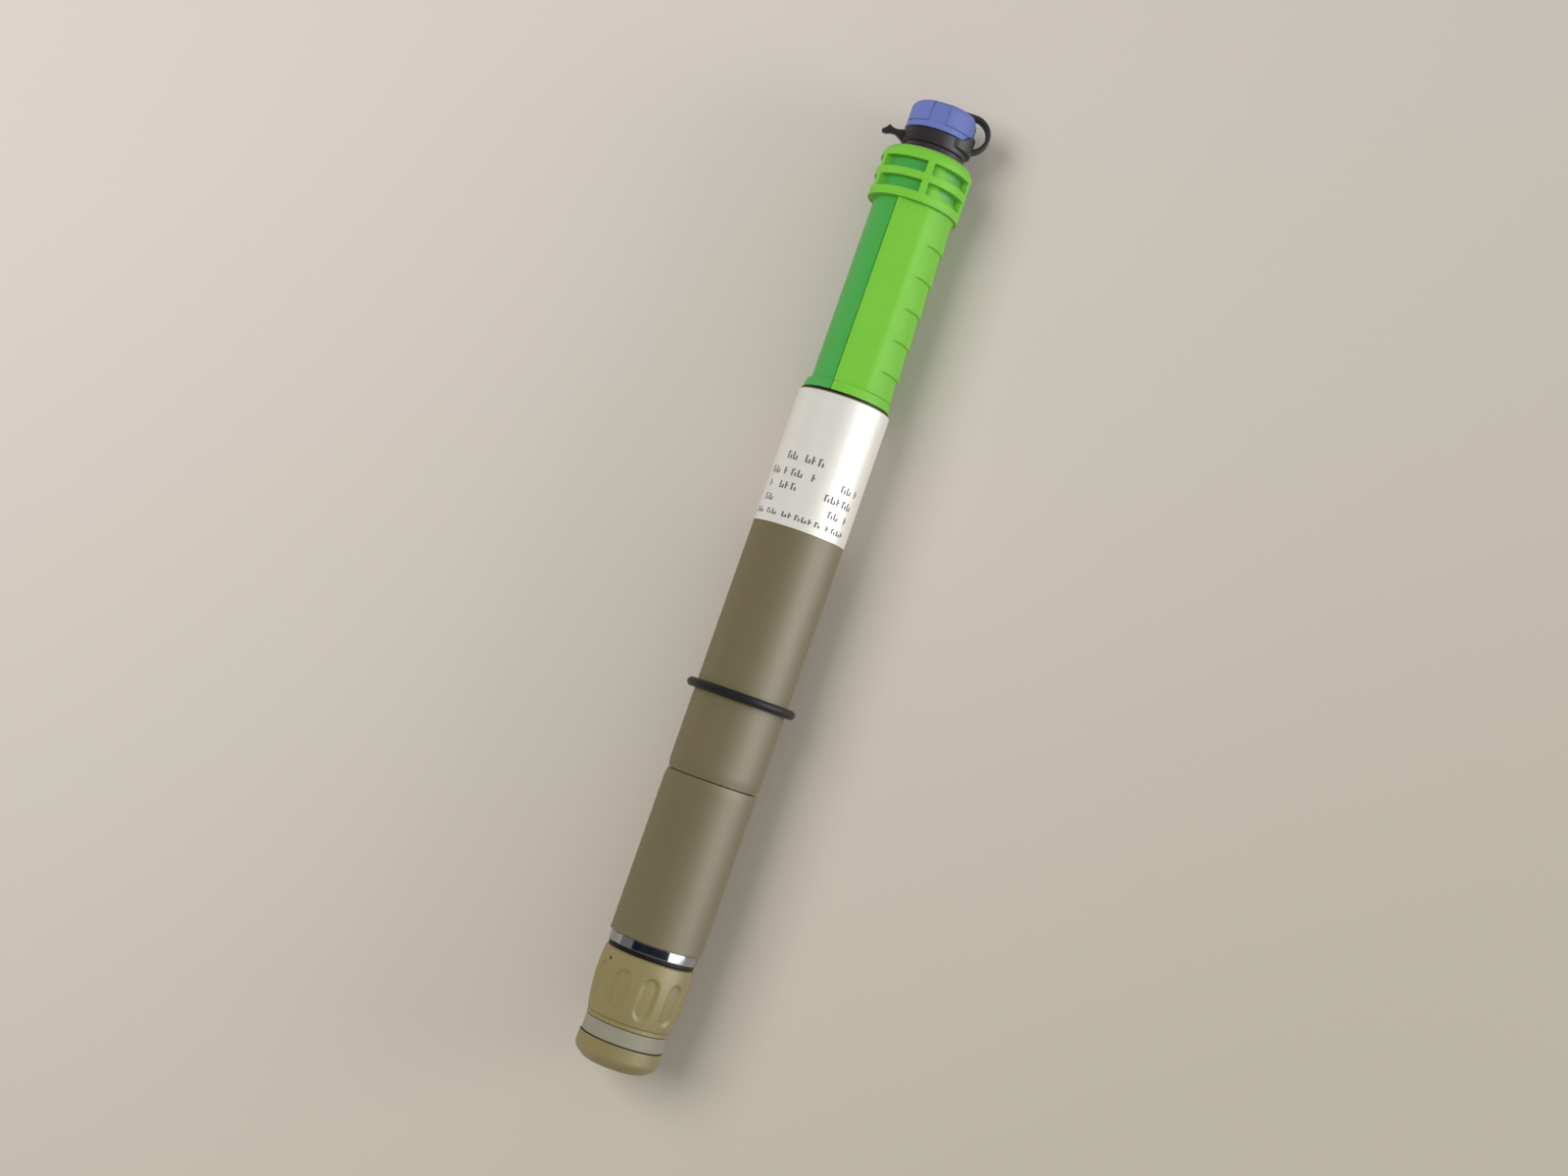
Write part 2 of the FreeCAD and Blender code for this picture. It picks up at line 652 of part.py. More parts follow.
def circuit(doc):
    board = new_body(doc, "circuit_board")
    section = sketch_on(board, "board_section", "YZ_Plane", station="board_foot")
    box(section, "0 - board_half_width", "board_half_width", "board_back", "board_face")
    along(board, "Pad", section, "board_length")

    headers = new_body(doc, "lead_headers")
    for name, foot, height in (("tip", "board_foot", "tip_header_height"),
                               ("cap", "cap_header_foot", "cap_header_height")):
        section = sketch_on(headers, f"{name}_header_section", "YZ_Plane", station=foot)
        box(section, "0 - header_half_width", "header_half_width", "board_face", f"board_face + {height}")
        along(headers, "Pad", section, "header_length")

    chips = new_body(doc, "board_chips")
    layout = sketch_on(chips, "chip_layout", "XY_Plane", station="board_face")
    for chip, side in (("processor", "0"), ("amplifier", "amplifier_offset"),
                       ("amplifier", "0 - amplifier_offset"), ("driver", "0")):
        foot = f"board_foot + {chip}_start"
        half = f"{chip}_width / 2"
        box(layout, foot, f"{foot} + {chip}_length", f"{side} - {half}", f"{side} + {half}")
    along(chips, "Pad", layout, "chip_height")

    cans = new_body(doc, "board_capacitors")
    layout = sketch_on(cans, "capacitor_layout", "XY_Plane", station="board_face")
    for number in (0, 1):
        place = f"board_foot + capacitor_start + {number} * capacitor_pitch"
        circle(layout, place, "0", "capacitor_radius")
    along(cans, "Pad", layout, "capacitor_height")


def board_supports(doc):
    body = new_body(doc, "board_supports")
    near = "board_foot + support_start"
    far = "board_top - support_start - support_length"
    for name, foot in (("near", near), ("far", far)):
        section = sketch_on(body, f"{name}_support_section", "YZ_Plane", station=foot)
        circle(section, "0", "0", "support_radius")
        circle(section, "0", "0", "support_bore_radius")
        along(body, "Pad", section, "support_length")
    slot = sketch_on(body, "board_slot", "YZ_Plane", station="board_foot")
    edge = "board_half_width + seat_gap"
    box(slot, f"0 - ({edge})", edge, "board_back - seat_gap", "board_face + seat_gap")
    along(body, "Pocket", slot, "board_length", reverse=True)


def wires(doc):
    rods(doc, "electrode_leads", "potting_top", "board_foot - potting_top", "wire_radius",
         [("0 - wire_pitch", "0"), ("0", "0"), ("wire_pitch", "0")])
    pins = []
    for step in (-2, -1, 0, 1, 2):
        pins.append((f"pin_circle_radius * sin({step} * pin_step)" if step else "0",
                     f"pin_circle_radius * cos({step} * pin_step)"))
    rods(doc, "connector_leads", "board_top", "pin_foot - board_top", "wire_radius", pins)
    rods(doc, "contact_pins", "pin_foot", "pin_tip - pin_foot", "pin_radius", pins)
    insert = sleeve(doc, "connector_insert", "insert_foot", "insert_face", "0", "insert_radius")
    holes = sketch_on(insert, "pin_holes", "YZ_Plane", station="insert_foot")
    for across, up in pins:
        circle(holes, across, up, "pin_radius")
    along(insert, "Pocket", holes, "insert_length", reverse=True)


def handle_core(doc):
    body = turned(doc, "handle_core", [
        ("handle_foot", "socket_radius"), ("handle_foot", "core_radius"), ("lip_foot", "core_radius"),
        ("lip_foot", "dark_radius"), ("lid_foot", "dark_radius"), ("lid_foot", "core_neck_radius"),
        ("core_top", "core_neck_radius"), ("core_top", "web_hole_radius"),
        ("web_foot", "web_hole_radius"), ("web_foot", "core_bore_radius"),
        ("socket_end", "core_bore_radius"), ("socket_end", "socket_radius")])
    land = sketch_on(body, "dark_land", "XZ_Plane", azimuth=LEFT)
    box(land, "base_ring_top", "lip_foot", "(socket_radius + core_radius) / 2", "dark_radius")
    spin(body, "Revolution", land, "side_sweep")


def handle_grip(doc):
    body = turned(doc, "handle_grip", [
        ("handle_foot", "core_radius"), ("handle_foot", "base_ring_radius"),
        ("base_ring_top", "flat_distance"), ("base_ring_top", "grip_radius"), ("lip_foot", "grip_radius"),
        ("lip_foot", "head_radius"), ("head_top", "head_radius"), ("head_top", "neck_opening_radius"),
        ("lid_foot", "neck_opening_radius"), ("lid_foot", "dark_radius"), ("lip_foot", "dark_radius"),
        ("lip_foot", "core_radius")])
    rounded(doc, body, "shoulder_round", ("head_top", "head_radius"))
    clear = "head_radius + head_lid"
    window = sketch_on(body, "grip_window", "XZ_Plane", azimuth=LEFT)
    box(window, "base_ring_top", "lip_foot", "core_bore_radius", clear)
    spin(body, "Groove", window, "side_sweep")
    scales = sketch_on(body, "grip_scales", "XZ_Plane", azimuth=RIGHT)
    corners = [("base_ring_top", clear), ("base_ring_top", "scale_high_radius")]
    for number in range(SIZES["scale_count"]):
        line = f"base_ring_top + scale_start + {number} * scale_pitch"
        corners += [(line, "scale_low_radius"), (line, "scale_high_radius")]
    corners += [("lip_foot", "scale_low_radius"), ("lip_foot", clear)]
    polygon(scales, corners)
    spin(body, "Groove", scales, "side_sweep")
    flats = sketch_on(body, "grip_flats", "YZ_Plane", station="base_ring_top")
    box(flats, "0 - core_radius", "core_radius", "flat_distance", clear)
    box(flats, "0 - core_radius", "core_radius", f"0 - ({clear})", "0 - flat_distance")
    along(body, "Pocket", flats, "grip_length", reverse=True)
    lattice = sketch_on(body, "head_windows", "XZ_Plane", azimuth="window_azimuth")
    box(lattice, "row_one_foot", "row_one_top", "core_radius", clear)
    box(lattice, "row_two_foot", "row_two_top", "core_radius", clear)
    repeated(body, spin(body, "Groove", lattice, "window_sweep"), "window_count")


def connector(doc):
    turned(doc, "connector_shell", [
        ("tail_foot", "barrel_bore_radius"), ("tail_foot", "tail_radius"), ("head_top", "tail_radius"),
        ("head_top", "flange_foot_radius"), ("flange_top", "flange_top_radius"),
        ("flange_top", "barrel_radius"), ("barrel_end", "barrel_radius"),
        ("barrel_end", "barrel_bore_radius")])
    sleeve(doc, "connector_seal", "core_top", "head_top", "web_hole_radius", "core_neck_radius")
    sleeve(doc, "connector_nut", "connector_nut_foot", "web_foot",
           "web_hole_radius", "connector_nut_radius")
    sleeve(doc, "handle_gasket", "upper_end", "handle_foot", "socket_radius", "handle_gasket_radius")


def tether_strap(doc):
    body = sleeve(doc, "tether_strap", "strap_foot", "strap_top", "strap_bore_radius", "strap_ring_radius")
    bend = sketch_on(body, "loop_bend", "XZ_Plane")
    bend.setExpression("AttachmentOffset.Base.x", bound("loop_mid"))
    bend.setExpression("AttachmentOffset.Base.z", bound("loop_reach"))
    box(bend, "0 - loop_radius - strap_thickness / 2", "0 - loop_radius + strap_thickness / 2",
        "0 - strap_width / 2", "strap_width / 2")
    half_turn = spin(body, "Revolution", bend, "180", "V_Axis")
    half_turn.Midplane = False
    runs = sketch_on(body, "loop_runs", "XY_Plane", station="0 - strap_width / 2")
    box(runs, "eyelet_foot", "eyelet_foot + strap_thickness", "0 - loop_reach",
        "0 - stud_radius - strap_thickness")
    low = "loop_low - strap_thickness / 2"
    box(runs, low, f"{low} + strap_thickness", "0 - loop_reach", "strap_thickness / 2 - strap_ring_radius")
    along(body, "Pad", runs, "strap_width")
    eyelet = sketch_on(body, "eyelet_section", "XZ_Plane")
    box(eyelet, "eyelet_foot", "eyelet_top", "stud_bore_radius", "eyelet_radius")
    spin(body, "Revolution", eyelet)
    middle = "(strap_foot + strap_top) / 2"
    tail = sketch_on(body, "tail_outline", "XY_Plane", station="0 - tail_thickness / 2")
    root = "strap_ring_radius - strap_thickness / 2"
    polygon(tail, [
        (f"{middle} - tail_root_width / 2", root), (f"{middle} - tail_neck_width / 2", "tail_neck_reach"),
        (f"{middle} - tail_neck_width", "tail_knob_reach + tail_knob_length"),
        (f"{middle} - tail_neck_width / 2", "tail_tip_reach"),
        (f"{middle} + tail_neck_width / 2", "tail_knob_reach + tail_knob_length"),
        (f"{middle} + tail_knob_rise", "tail_knob_reach"),
        (f"{middle} + tail_neck_width / 2", "tail_neck_reach"),
        (f"{middle} + tail_root_width / 2", root)])
    along(body, "Pad", tail, "tail_thickness")


def dust_cap(doc):
    body = turned(doc, "dust_cap", [
        ("cap_foot", "cap_bore_radius"), ("cap_foot", "cap_radius"), ("crown_top", "cap_radius"),
        ("crown_top", "stud_bore_radius"), ("crown_foot", "stud_bore_radius"),
        ("crown_foot", "cap_bore_radius")])
    rounded(doc, body, "crown_round", ("crown_top", "cap_radius"))
    groove = sketch_on(body, "pad_grooves", "XZ_Plane", azimuth="pad_groove_azimuth")
    clear = "cap_radius + crown_round"
    box(groove, "pad_foot_station", "crown_top + crown_thickness", "cap_groove_radius", clear)
    repeated(body, spin(body, "Groove", groove, "pad_groove_sweep"), "pad_count")
    sleeve(doc, "cap_gasket", "cap_gasket_foot", "crown_foot",
           "cap_gasket_bore_radius", "cap_gasket_radius")


def tether_stud(doc):
    turned(doc, "tether_stud", [
        ("stud_foot", "0"), ("stud_foot", "stud_head_radius"), ("stud_inner_top", "stud_head_radius"),
        ("stud_inner_top", "stud_radius"), ("stud_head_foot", "stud_radius"),
        ("stud_head_foot", "stud_head_radius"), ("stud_top", "stud_head_radius"), ("stud_top", "0")])


def lay_down(body):
    """Lay a piece on the floor with the rest of the cell."""
    body.Placement = turned_place(FreeCAD.Vector(0, 1, 0))
    body.setExpression("Placement.Rotation.Angle", bound("rest_tilt"))
    body.setExpression("Placement.Base.x", bound("lay_x"))
    body.setExpression("Placement.Base.z", bound("lay_z"))


def write_pieces(doc):
    """Check every object and piece, and then write each piece's file."""
    failed = [item.Name for item in doc.Objects if {"Invalid", "Error"} & set(item.State)]
    bodies = [item for item in doc.Objects if item.isDerivedFrom("PartDesign::Body")]
    failed += [body.Label for body in bodies if body.Shape.isNull() or not body.Shape.isValid()]
    if failed:
        raise RuntimeError("failed: " + ", ".join(failed))
    os.makedirs("parts", exist_ok=True)
    for body in bodies:
        body.Shape.exportStep(f"parts/{body.Label}.step")
        print(f"{body.Label:22s} {len(body.Shape.Solids)} solids, {body.Shape.Volume:9.1f} mm3")


def main():
    doc = FreeCAD.newDocument("sensor_cell")
    fill_sheets(doc)
    for build in (membrane_clamp, membrane_holder, tip_rings, grip_nut, sealing_rings, lower_housing,
                  electrode_shaft, upper_housing, circuit, board_supports, wires, handle_core, handle_grip,
                  connector, tether_strap, dust_cap, tether_stud):
        build(doc)
    for item in doc.Objects:
        if item.isDerivedFrom("PartDesign::Body"):
            lay_down(item)
    doc.recompute()
    write_pieces(doc)


main()
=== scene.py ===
# %% [markdown]
# # A sensor cell, dressed for its picture
#
# The cell is a plastic stick with a union nut at its tip and a green handle at its other end. Its
# solids come ready at their real size, so this script only gives each visible piece its finer form
# and its finish. Nearly everything on it was turned or moulded about one axis, so most cells below
# spin an outline of stations and radii, which is how a lathe would make the piece.

# %% Load the solids
import json
import math

import bmesh
import bpy
from mathutils import Matrix, Vector


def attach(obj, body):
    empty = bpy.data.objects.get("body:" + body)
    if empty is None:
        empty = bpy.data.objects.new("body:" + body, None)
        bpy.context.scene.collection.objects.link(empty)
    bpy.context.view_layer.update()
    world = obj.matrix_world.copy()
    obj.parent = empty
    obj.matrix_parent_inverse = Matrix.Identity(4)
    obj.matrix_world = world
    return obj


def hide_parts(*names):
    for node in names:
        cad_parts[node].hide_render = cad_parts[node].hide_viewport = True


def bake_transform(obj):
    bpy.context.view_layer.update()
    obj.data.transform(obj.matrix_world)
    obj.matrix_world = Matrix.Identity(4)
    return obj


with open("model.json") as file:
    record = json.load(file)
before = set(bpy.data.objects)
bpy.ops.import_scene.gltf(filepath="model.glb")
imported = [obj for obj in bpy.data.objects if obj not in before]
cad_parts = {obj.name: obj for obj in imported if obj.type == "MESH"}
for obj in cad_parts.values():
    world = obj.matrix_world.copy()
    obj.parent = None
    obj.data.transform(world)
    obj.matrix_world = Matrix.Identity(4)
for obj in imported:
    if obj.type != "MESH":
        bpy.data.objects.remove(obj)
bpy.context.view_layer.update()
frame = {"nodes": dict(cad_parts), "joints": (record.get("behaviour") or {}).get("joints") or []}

# %% [markdown]
# ## The cell's own axes
#
# The cell lies a little tilted, on the ring round its tube and on its handle's head. It is easier to
# work along its own axis, so one matrix takes a point from the cell's axes to the scene: x is the
# station in millimetres from the tip, z faces up, and an azimuth is counted from z towards -y. The
# strap's swivel joint gives the axis and one station on it.

# %% Find the cell's axis
MM = 0.001
SWIVEL_STATION = 257.5
swivel = next(joint for joint in frame["joints"] if joint["name"] == "tether_swivel")
along = Vector(swivel["axis"]).normalized()
side = Vector((0, 1, 0))
TIP = Vector(swivel["pos_m"]) - along * SWIVEL_STATION * MM
TURN = Matrix((along, side, along.cross(side))).transposed()
CELL = Matrix.Translation(TIP) @ TURN.to_4x4() @ Matrix.Scale(MM, 4)


def radius_of(point):
    """How far a point is from the cell's axis."""
    return math.hypot(point.y, point.z)


def azimuth_of(point):
    """The azimuth of a point, from -180 to 180 degrees."""
    return math.degrees(math.atan2(-point.y, point.z))


def reach(node):
    """Foot station, top station and largest radius of a solid, in millimetres."""
    to_cell = CELL.inverted()
    points = [to_cell @ vertex.co for vertex in frame["nodes"][node].data.vertices]
    stations = [point.x for point in points]
    return min(stations), max(stations), max(radius_of(point) for point in points)


print("tip of the cell at", tuple(round(value, 4) for value in TIP))

# %% [markdown]
# ## Turning
#
# A turned piece starts as a closed outline, spun a full turn with its last ring merged into its
# first. A piece that goes only part of the way round, such as the grip, has its two ends filled.

# %% Helpers for spins
STEPS = 144
FULL_TURN = 360
HALF_TURN = 180
# points that are nearer to each other than this are merged
SAME_POINT = 0.0005


def outline_in(bm, outline, azimuth=0.0):
    """Draw a closed outline of (station, radius) points at an azimuth."""
    turn = Matrix.Rotation(math.radians(azimuth), 3, "X")
    corners = [bm.verts.new(turn @ Vector((station, 0, radius))) for station, radius in outline]
    rim = [bm.edges.new(pair) for pair in zip(corners, corners[1:] + corners[:1])]
    return corners + rim


def spin(bm, geom, sweep, steps, **settings):
    """Spin some geometry round the cell's axis, through a sweep in degrees."""
    return bmesh.ops.spin(bm, geom=geom, cent=(0, 0, 0), axis=(1, 0, 0), angle=math.radians(sweep),
                          steps=steps, **settings)


def closed(bm):
    """Merge what meets, fill what is open, and point every face outwards."""
    bmesh.ops.remove_doubles(bm, verts=bm.verts, dist=SAME_POINT)
    bmesh.ops.holes_fill(bm, edges=[edge for edge in bm.edges if edge.is_boundary])
    bmesh.ops.recalc_face_normals(bm, faces=bm.faces)
    return bm


def turned(outline, steps=STEPS):
    """Spin a closed outline once round the cell's axis."""
    bm = bmesh.new()
    spin(bm, outline_in(bm, outline), FULL_TURN, steps, use_merge=True)
    return closed(bm)


def swept(outline, start, sweep, steps):
    """Spin a closed outline through part of a turn, and close its two ends."""
    bm = bmesh.new()
    spin(bm, outline_in(bm, outline, start), sweep, steps)
    return closed(bm)


# %% [markdown]
# ## Rounding
#
# Real edges are never sharp, and a rounded one catches a thin line of light. So rims are bevelled:
# either one rim with a radius of its own, or every edge that is sharper than a given angle.

# %% Helpers for rims
# how near a point has to be to a rim to count as on it
RIM_REACH = 0.003
# two roundings that several pieces share
FINE_ROUND = 0.2
SOFT_ROUND = 0.3


def bevelled(bm, edges, width, segments=3):
    """Round the given edges."""
    bmesh.ops.bevel(bm, geom=edges, offset=width, offset_type="OFFSET", affect="EDGES",
                    segments=segments, profile=0.5, clamp_overlap=True, material=-1)
    return bm


def round_rim(bm, station, radius, width, segments=5):
    """Round the rim that lies at one station and radius."""
    def on_rim(vertex):
        return math.dist((vertex.co.x, radius_of(vertex.co)), (station, radius)) < RIM_REACH
    rim = [edge for edge in bm.edges if all(on_rim(vertex) for vertex in edge.verts)]
    return bevelled(bm, rim, width, segments)


def soften(bm, width, angle=30.0, segments=2):
    """Round every edge that is sharper than an angle."""
    limit = math.radians(angle)
    sharp = [edge for edge in bm.edges if edge.is_manifold and edge.calc_face_angle() > limit]
    return bevelled(bm, sharp, width, segments)


# %% [markdown]
# ## Finished pieces
#
# A shape becomes a piece when its mesh takes its place in the scene. Smooth shading alone would bend
# the light on a flat face beside a small bevel, so a Weighted Normal modifier lets the larger faces
# decide. Each piece then rides on its body and stands for the solids it dresses.

# %% Helper for pieces
# an edge that turns more than this is shaded as sharp
SHARP_ANGLE = 38


def piece(bm, name, body, slot, finish, *nodes):
    """Put a finished shape in the scene, to ride on a body and stand for some solids."""
    bm.transform(CELL)
    mesh = bpy.data.meshes.new(name)
    bm.to_mesh(mesh)
    bm.free()
    mesh.shade_smooth()
    mesh.set_sharp_from_angle(angle=math.radians(SHARP_ANGLE))
    mesh.materials.append(finish)
    thing = bpy.data.objects.new(name, mesh)
    bpy.context.scene.collection.objects.link(thing)
    weighted = thing.modifiers.new("weighted", "WEIGHTED_NORMAL")
    weighted.keep_sharp = True
    if body:
        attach(thing, body)
    if nodes:
        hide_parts(*nodes)
    print(f"{name}: {len(mesh.polygons)} faces")
    return thing


# %% [markdown]
# ## Colours and nodes
#
# Colours are read off the object as sRGB hex values and turned to linear, which is what a shader
# expects. One function adds any node. Patterns are placed in the cell's own millimetres: a Mapping
# node of the Texture kind undoes the lying-down matrix, so a noise of scale 2 has grains half a
# millimetre wide. A Mix node keeps sockets for every type of value, so its colour sockets are called
# by their numbers.

# %% Helpers for finishes
FIRST_COLOR = 6
SECOND_COLOR = 7
MIXED_COLOR = 2


def linear(code):
    """A linear colour from an sRGB hex value."""
    channels = [int(code[i:i + 2], 16) / 255 for i in (1, 3, 5)]
    return tuple(c / 12.92 if c <= 0.04045 else ((c + 0.055) / 1.055) ** 2.4 for c in channels) + (1.0,)


def add_node(tree, kind, inputs=None, **settings):
    """Add a node with its settings, and set or link its inputs."""
    node = tree.nodes.new(kind)
    for name, value in settings.items():
        setattr(node, name, value)
    for name, value in (inputs or {}).items():
        if isinstance(value, bpy.types.NodeSocket):
            tree.links.new(value, node.inputs[name])
        else:
            node.inputs[name].default_value = value
    return node


def new_finish(name, **shader):
    """A material with its shader's plain sockets set, its node tree, its shader and its coordinates."""
    finish = bpy.data.materials.new(name)
    finish.use_nodes = True
    tree = finish.node_tree
    principled = tree.nodes["Principled BSDF"]
    for socket, value in shader.items():
        principled.inputs[socket.replace("_", " ")].default_value = value
    here = add_node(tree, "ShaderNodeTexCoord")
    own = add_node(tree, "ShaderNodeMapping", {
        "Vector": here.outputs["Object"], "Location": TIP, "Rotation": TURN.to_euler(),
        "Scale": (MM, MM, MM)}, vector_type="TEXTURE")
    return finish, tree, principled, own.outputs["Vector"]


# most of a noise lies between these two
NOISE_LOW = 0.3
NOISE_HIGH = 0.7


def mottled(tree, principled, place, shade, light, size, squeeze=(1, 1, 1)):
    """Let the colour drift between two tones, in soft patches of a size in millimetres."""
    stretched = add_node(tree, "ShaderNodeMapping", {"Vector": place, "Scale": squeeze})
    cloud = add_node(tree, "ShaderNodeTexNoise", {
        "Vector": stretched.outputs["Vector"], "Scale": 1 / size, "Detail": 3.0, "Roughness": 0.55})
    tone = add_node(tree, "ShaderNodeMix", {
        0: cloud.outputs["Fac"], FIRST_COLOR: linear(shade), SECOND_COLOR: linear(light)},
        data_type="RGBA")
    tree.links.new(tone.outputs[MIXED_COLOR], principled.inputs["Base Color"])


def grained(tree, principled, place, size, depth, low, high):
    """Give the surface a fine grain: its roughness and its bump follow one noise."""
    grain = add_node(tree, "ShaderNodeTexNoise", {
        "Vector": place, "Scale": 1 / size, "Detail": 4.0, "Roughness": 0.6})
    polish = add_node(tree, "ShaderNodeMapRange", {
        "Value": grain.outputs["Fac"], "From Min": NOISE_LOW, "From Max": NOISE_HIGH,
        "To Min": low, "To Max": high})
    relief = add_node(tree, "ShaderNodeBump", {
        "Strength": 0.6, "Distance": depth * MM, "Height": grain.outputs["Fac"]})
    tree.links.new(polish.outputs["Result"], principled.inputs["Roughness"])
    tree.links.new(relief.outputs["Normal"], principled.inputs["Normal"])


# %% [markdown]
# ## Moulded plastics
#
# The tubes are satin PVC, turned from bar, so their patches are drawn out along the cell. The nut and
# the end piece are the same plastic moulded, a shade yellower and with a finer, duller skin. The
# handle is moulded in two shots of polypropylene and soft elastomer. A small subsurface share lets
# light into the cap's polyethylene, which is what makes it look waxy.

# %% Plastics
def plastic(name, shade, light, patch, grain, depth, low, high, squeeze=(1, 1, 1), **shader):
    """A moulded or turned plastic: its two tones, the millimetres of its patches, of its grain and of
    the grain's depth, and the lowest and highest roughness."""
    finish, tree, principled, place = new_finish(name, **shader)
    mottled(tree, principled, place, shade, light, patch, squeeze)
    grained(tree, principled, place, grain, depth, low, high)
    return finish


# satin PVC: a soft broad highlight, and faint streaks along the bar
tube_pvc = plastic("turned_pvc", "#605637", "#685E40", 6.0, 0.35, 0.004, 0.50, 0.60,
                   squeeze=(0.12, 1, 1), IOR=1.53, Specular_IOR_Level=1.0)
# the same PVC moulded: yellower, a little duller
nut_pvc = plastic("moulded_pvc", "#7F7347", "#887C52", 5.0, 0.3, 0.006, 0.40, 0.50, IOR=1.53,
                  Specular_IOR_Level=0.65)
end_pvc = plastic("moulded_pvc_end", "#7C7146", "#85794E", 5.0, 0.3, 0.006, 0.40, 0.50, IOR=1.53,
                  Specular_IOR_Level=0.65)
# thermoplastic elastomer: a bright, slightly waxy green with a fine spark-eroded grain
grip_tpe = plastic("moulded_elastomer_light", "#70BA38", "#78C040", 8.0, 0.28, 0.008, 0.42, 0.54,
                   IOR=1.5, Specular_IOR_Level=0.2, Subsurface_Weight=0.05, Subsurface_Scale=0.002)
# polypropylene core: darker and smoother; its dark green is partly painted shade, as it shows on the
# shaded side
core_pp_with_painted_shade = plastic("moulded_polypropylene_dark_painted_shade", "#3E9A40", "#46A248", 8.0, 0.25, 0.005, 0.36, 0.46,
                  IOR=1.49)
# low-density polyethylene: waxy and a little see-through
cap_pe = plastic("moulded_polyethylene_blue", "#6370AC", "#6C79B6", 6.0, 0.25, 0.006, 0.34, 0.44,
                 IOR=1.51, Specular_IOR_Level=0.1, Subsurface_Weight=0.12, Subsurface_Scale=0.003)
# glass-filled polyamide: black with a slight sheen
neck_pa = plastic("moulded_polyamide_black", "#1F1C1D", "#2A2728", 3.0, 0.2, 0.006, 0.28, 0.42, IOR=1.53)

# %% [markdown]
# ## Rubbers
#
# Rubber is rougher than plastic and a little dusty, so its grain is coarser and its highlight wide.
# The strap is a softer, greyer rubber than the ring on the tube, and the vent band is silicone, which
# picks up light inside.

# %% Rubbers
# nitrile rubber: near black, with a dull wide gleam
ring_nbr = plastic("moulded_nitrile", "#121214", "#1A1A1C", 4.0, 0.25, 0.006, 0.38, 0.5, IOR=1.52,
                   Specular_IOR_Level=0.3)
# the strap's rubber: greyer, and rough enough to have no gleam
strap_epdm = plastic("moulded_strap_rubber", "#1C191A", "#252223", 3.0, 0.3, 0.01, 0.42, 0.56, IOR=1.52)
# seal rubber: matt, and the darkest of the rubbers
seal_epdm = plastic("cut_seal_rubber", "#0D0D0E", "#141415", 3.0, 0.3, 0.008, 0.4, 0.55, IOR=1.52,
                    Specular_IOR_Level=0.25)
# silicone: grey, with light that goes a little way in and softens its edges
band_silicone = plastic("moulded_silicone_grey", "#86826E", "#928E7E", 5.0, 0.35, 0.006, 0.44, 0.56,
                        IOR=1.43, Subsurface_Weight=0.15, Subsurface_Scale=0.002)

# %% [markdown]
# ## Metals
#
# A turned metal ring carries fine lathe lines. They are rings round the axis, so a wave along the
# station draws them. The real feed is under a tenth of a millimetre, too fine to show, so it is drawn
# at a quarter of a millimetre and more.

# %% Metals
# how wide the patches of duller and brighter metal are
SMEAR = 1.25


def metal(name, code, low, high, feed, depth, **shader):
    """A turned metal: its bump is a wave along the cell, and its roughness follows a noise."""
    finish, tree, principled, place = new_finish(name, Metallic=1.0, Base_Color=linear(code), **shader)
    lines = add_node(tree, "ShaderNodeTexWave", {
        "Vector": place, "Scale": 1 / (2 * feed), "Distortion": 0.6, "Detail": 2.0},
        wave_type="BANDS", bands_direction="X")
    smear = add_node(tree, "ShaderNodeTexNoise", {"Vector": place, "Scale": 1 / SMEAR, "Detail": 3.0})
    polish = add_node(tree, "ShaderNodeMapRange", {
        "Value": smear.outputs["Fac"], "To Min": low, "To Max": high})
    relief = add_node(tree, "ShaderNodeBump", {
        "Strength": 0.5, "Distance": depth * MM, "Height": lines.outputs["Fac"]})
    tree.links.new(polish.outputs["Result"], principled.inputs["Roughness"])
    tree.links.new(relief.outputs["Normal"], principled.inputs["Normal"])
    return finish


# polished stainless steel: nearly a mirror
ring_steel = metal("polished_stainless_steel", "#A9ABAE", 0.07, 0.16, 0.25, 0.0015)
# gold plating: warm and bright
pin_gold = metal("plated_gold", "#E3B75E", 0.12, 0.22, 0.3, 0.001)
# silver under its chloride layer: grey and dull
sleeve_silver = metal("chlorided_silver", "#8F8B88", 0.35, 0.5, 0.3, 0.002)
# turned brass: yellow, with lathe lines that show
nut_brass = metal("turned_brass", "#C9A85C", 0.18, 0.3, 0.3, 0.003)
# drawn aluminium: pale, with a soft gleam
can_aluminium = metal("drawn_aluminium", "#C4C6C8", 0.22, 0.32, 0.4, 0.002)

# %% [markdown]
# ## The label's foil
#
# The label is a metallised polyester film: bright and silvery, with a brushed look whose lines run
# round the tube. Stretched noise draws them, squeezed hard along the cell. The film is only partly
# metallic, because a white undercoat softens it.

# %% Label foil
def label_film():
    """A printed foil: pale, brushed round the tube, with a thin satin coat."""
    finish, tree, principled, place = new_finish(
        "metallised_polyester_film", Metallic=0.3, IOR=1.5, Coat_Weight=0.1, Coat_Roughness=0.35)
    mottled(tree, principled, place, "#D9D6CE", "#E6E3DC", 2.0, squeeze=(6.0, 0.15, 0.15))
    brushed = add_node(tree, "ShaderNodeMapping", {"Vector": place, "Scale": (7.0, 0.12, 0.12)})
    grained(tree, principled, brushed.outputs["Vector"], 1.0, 0.002, 0.4, 0.5)
    return finish


label_foil = label_film()
# printing ink: a matt grey on the bright film
print_ink = plastic("printed_grey_ink", "#55555A", "#66666B", 2.0, 0.2, 0.002, 0.5, 0.6)

# %% [markdown]
# ## Hidden pieces
#
# What the cell holds inside shows only when it is taken apart, but it is finished too: each solid
# keeps its shape and gets the material that such a piece has.

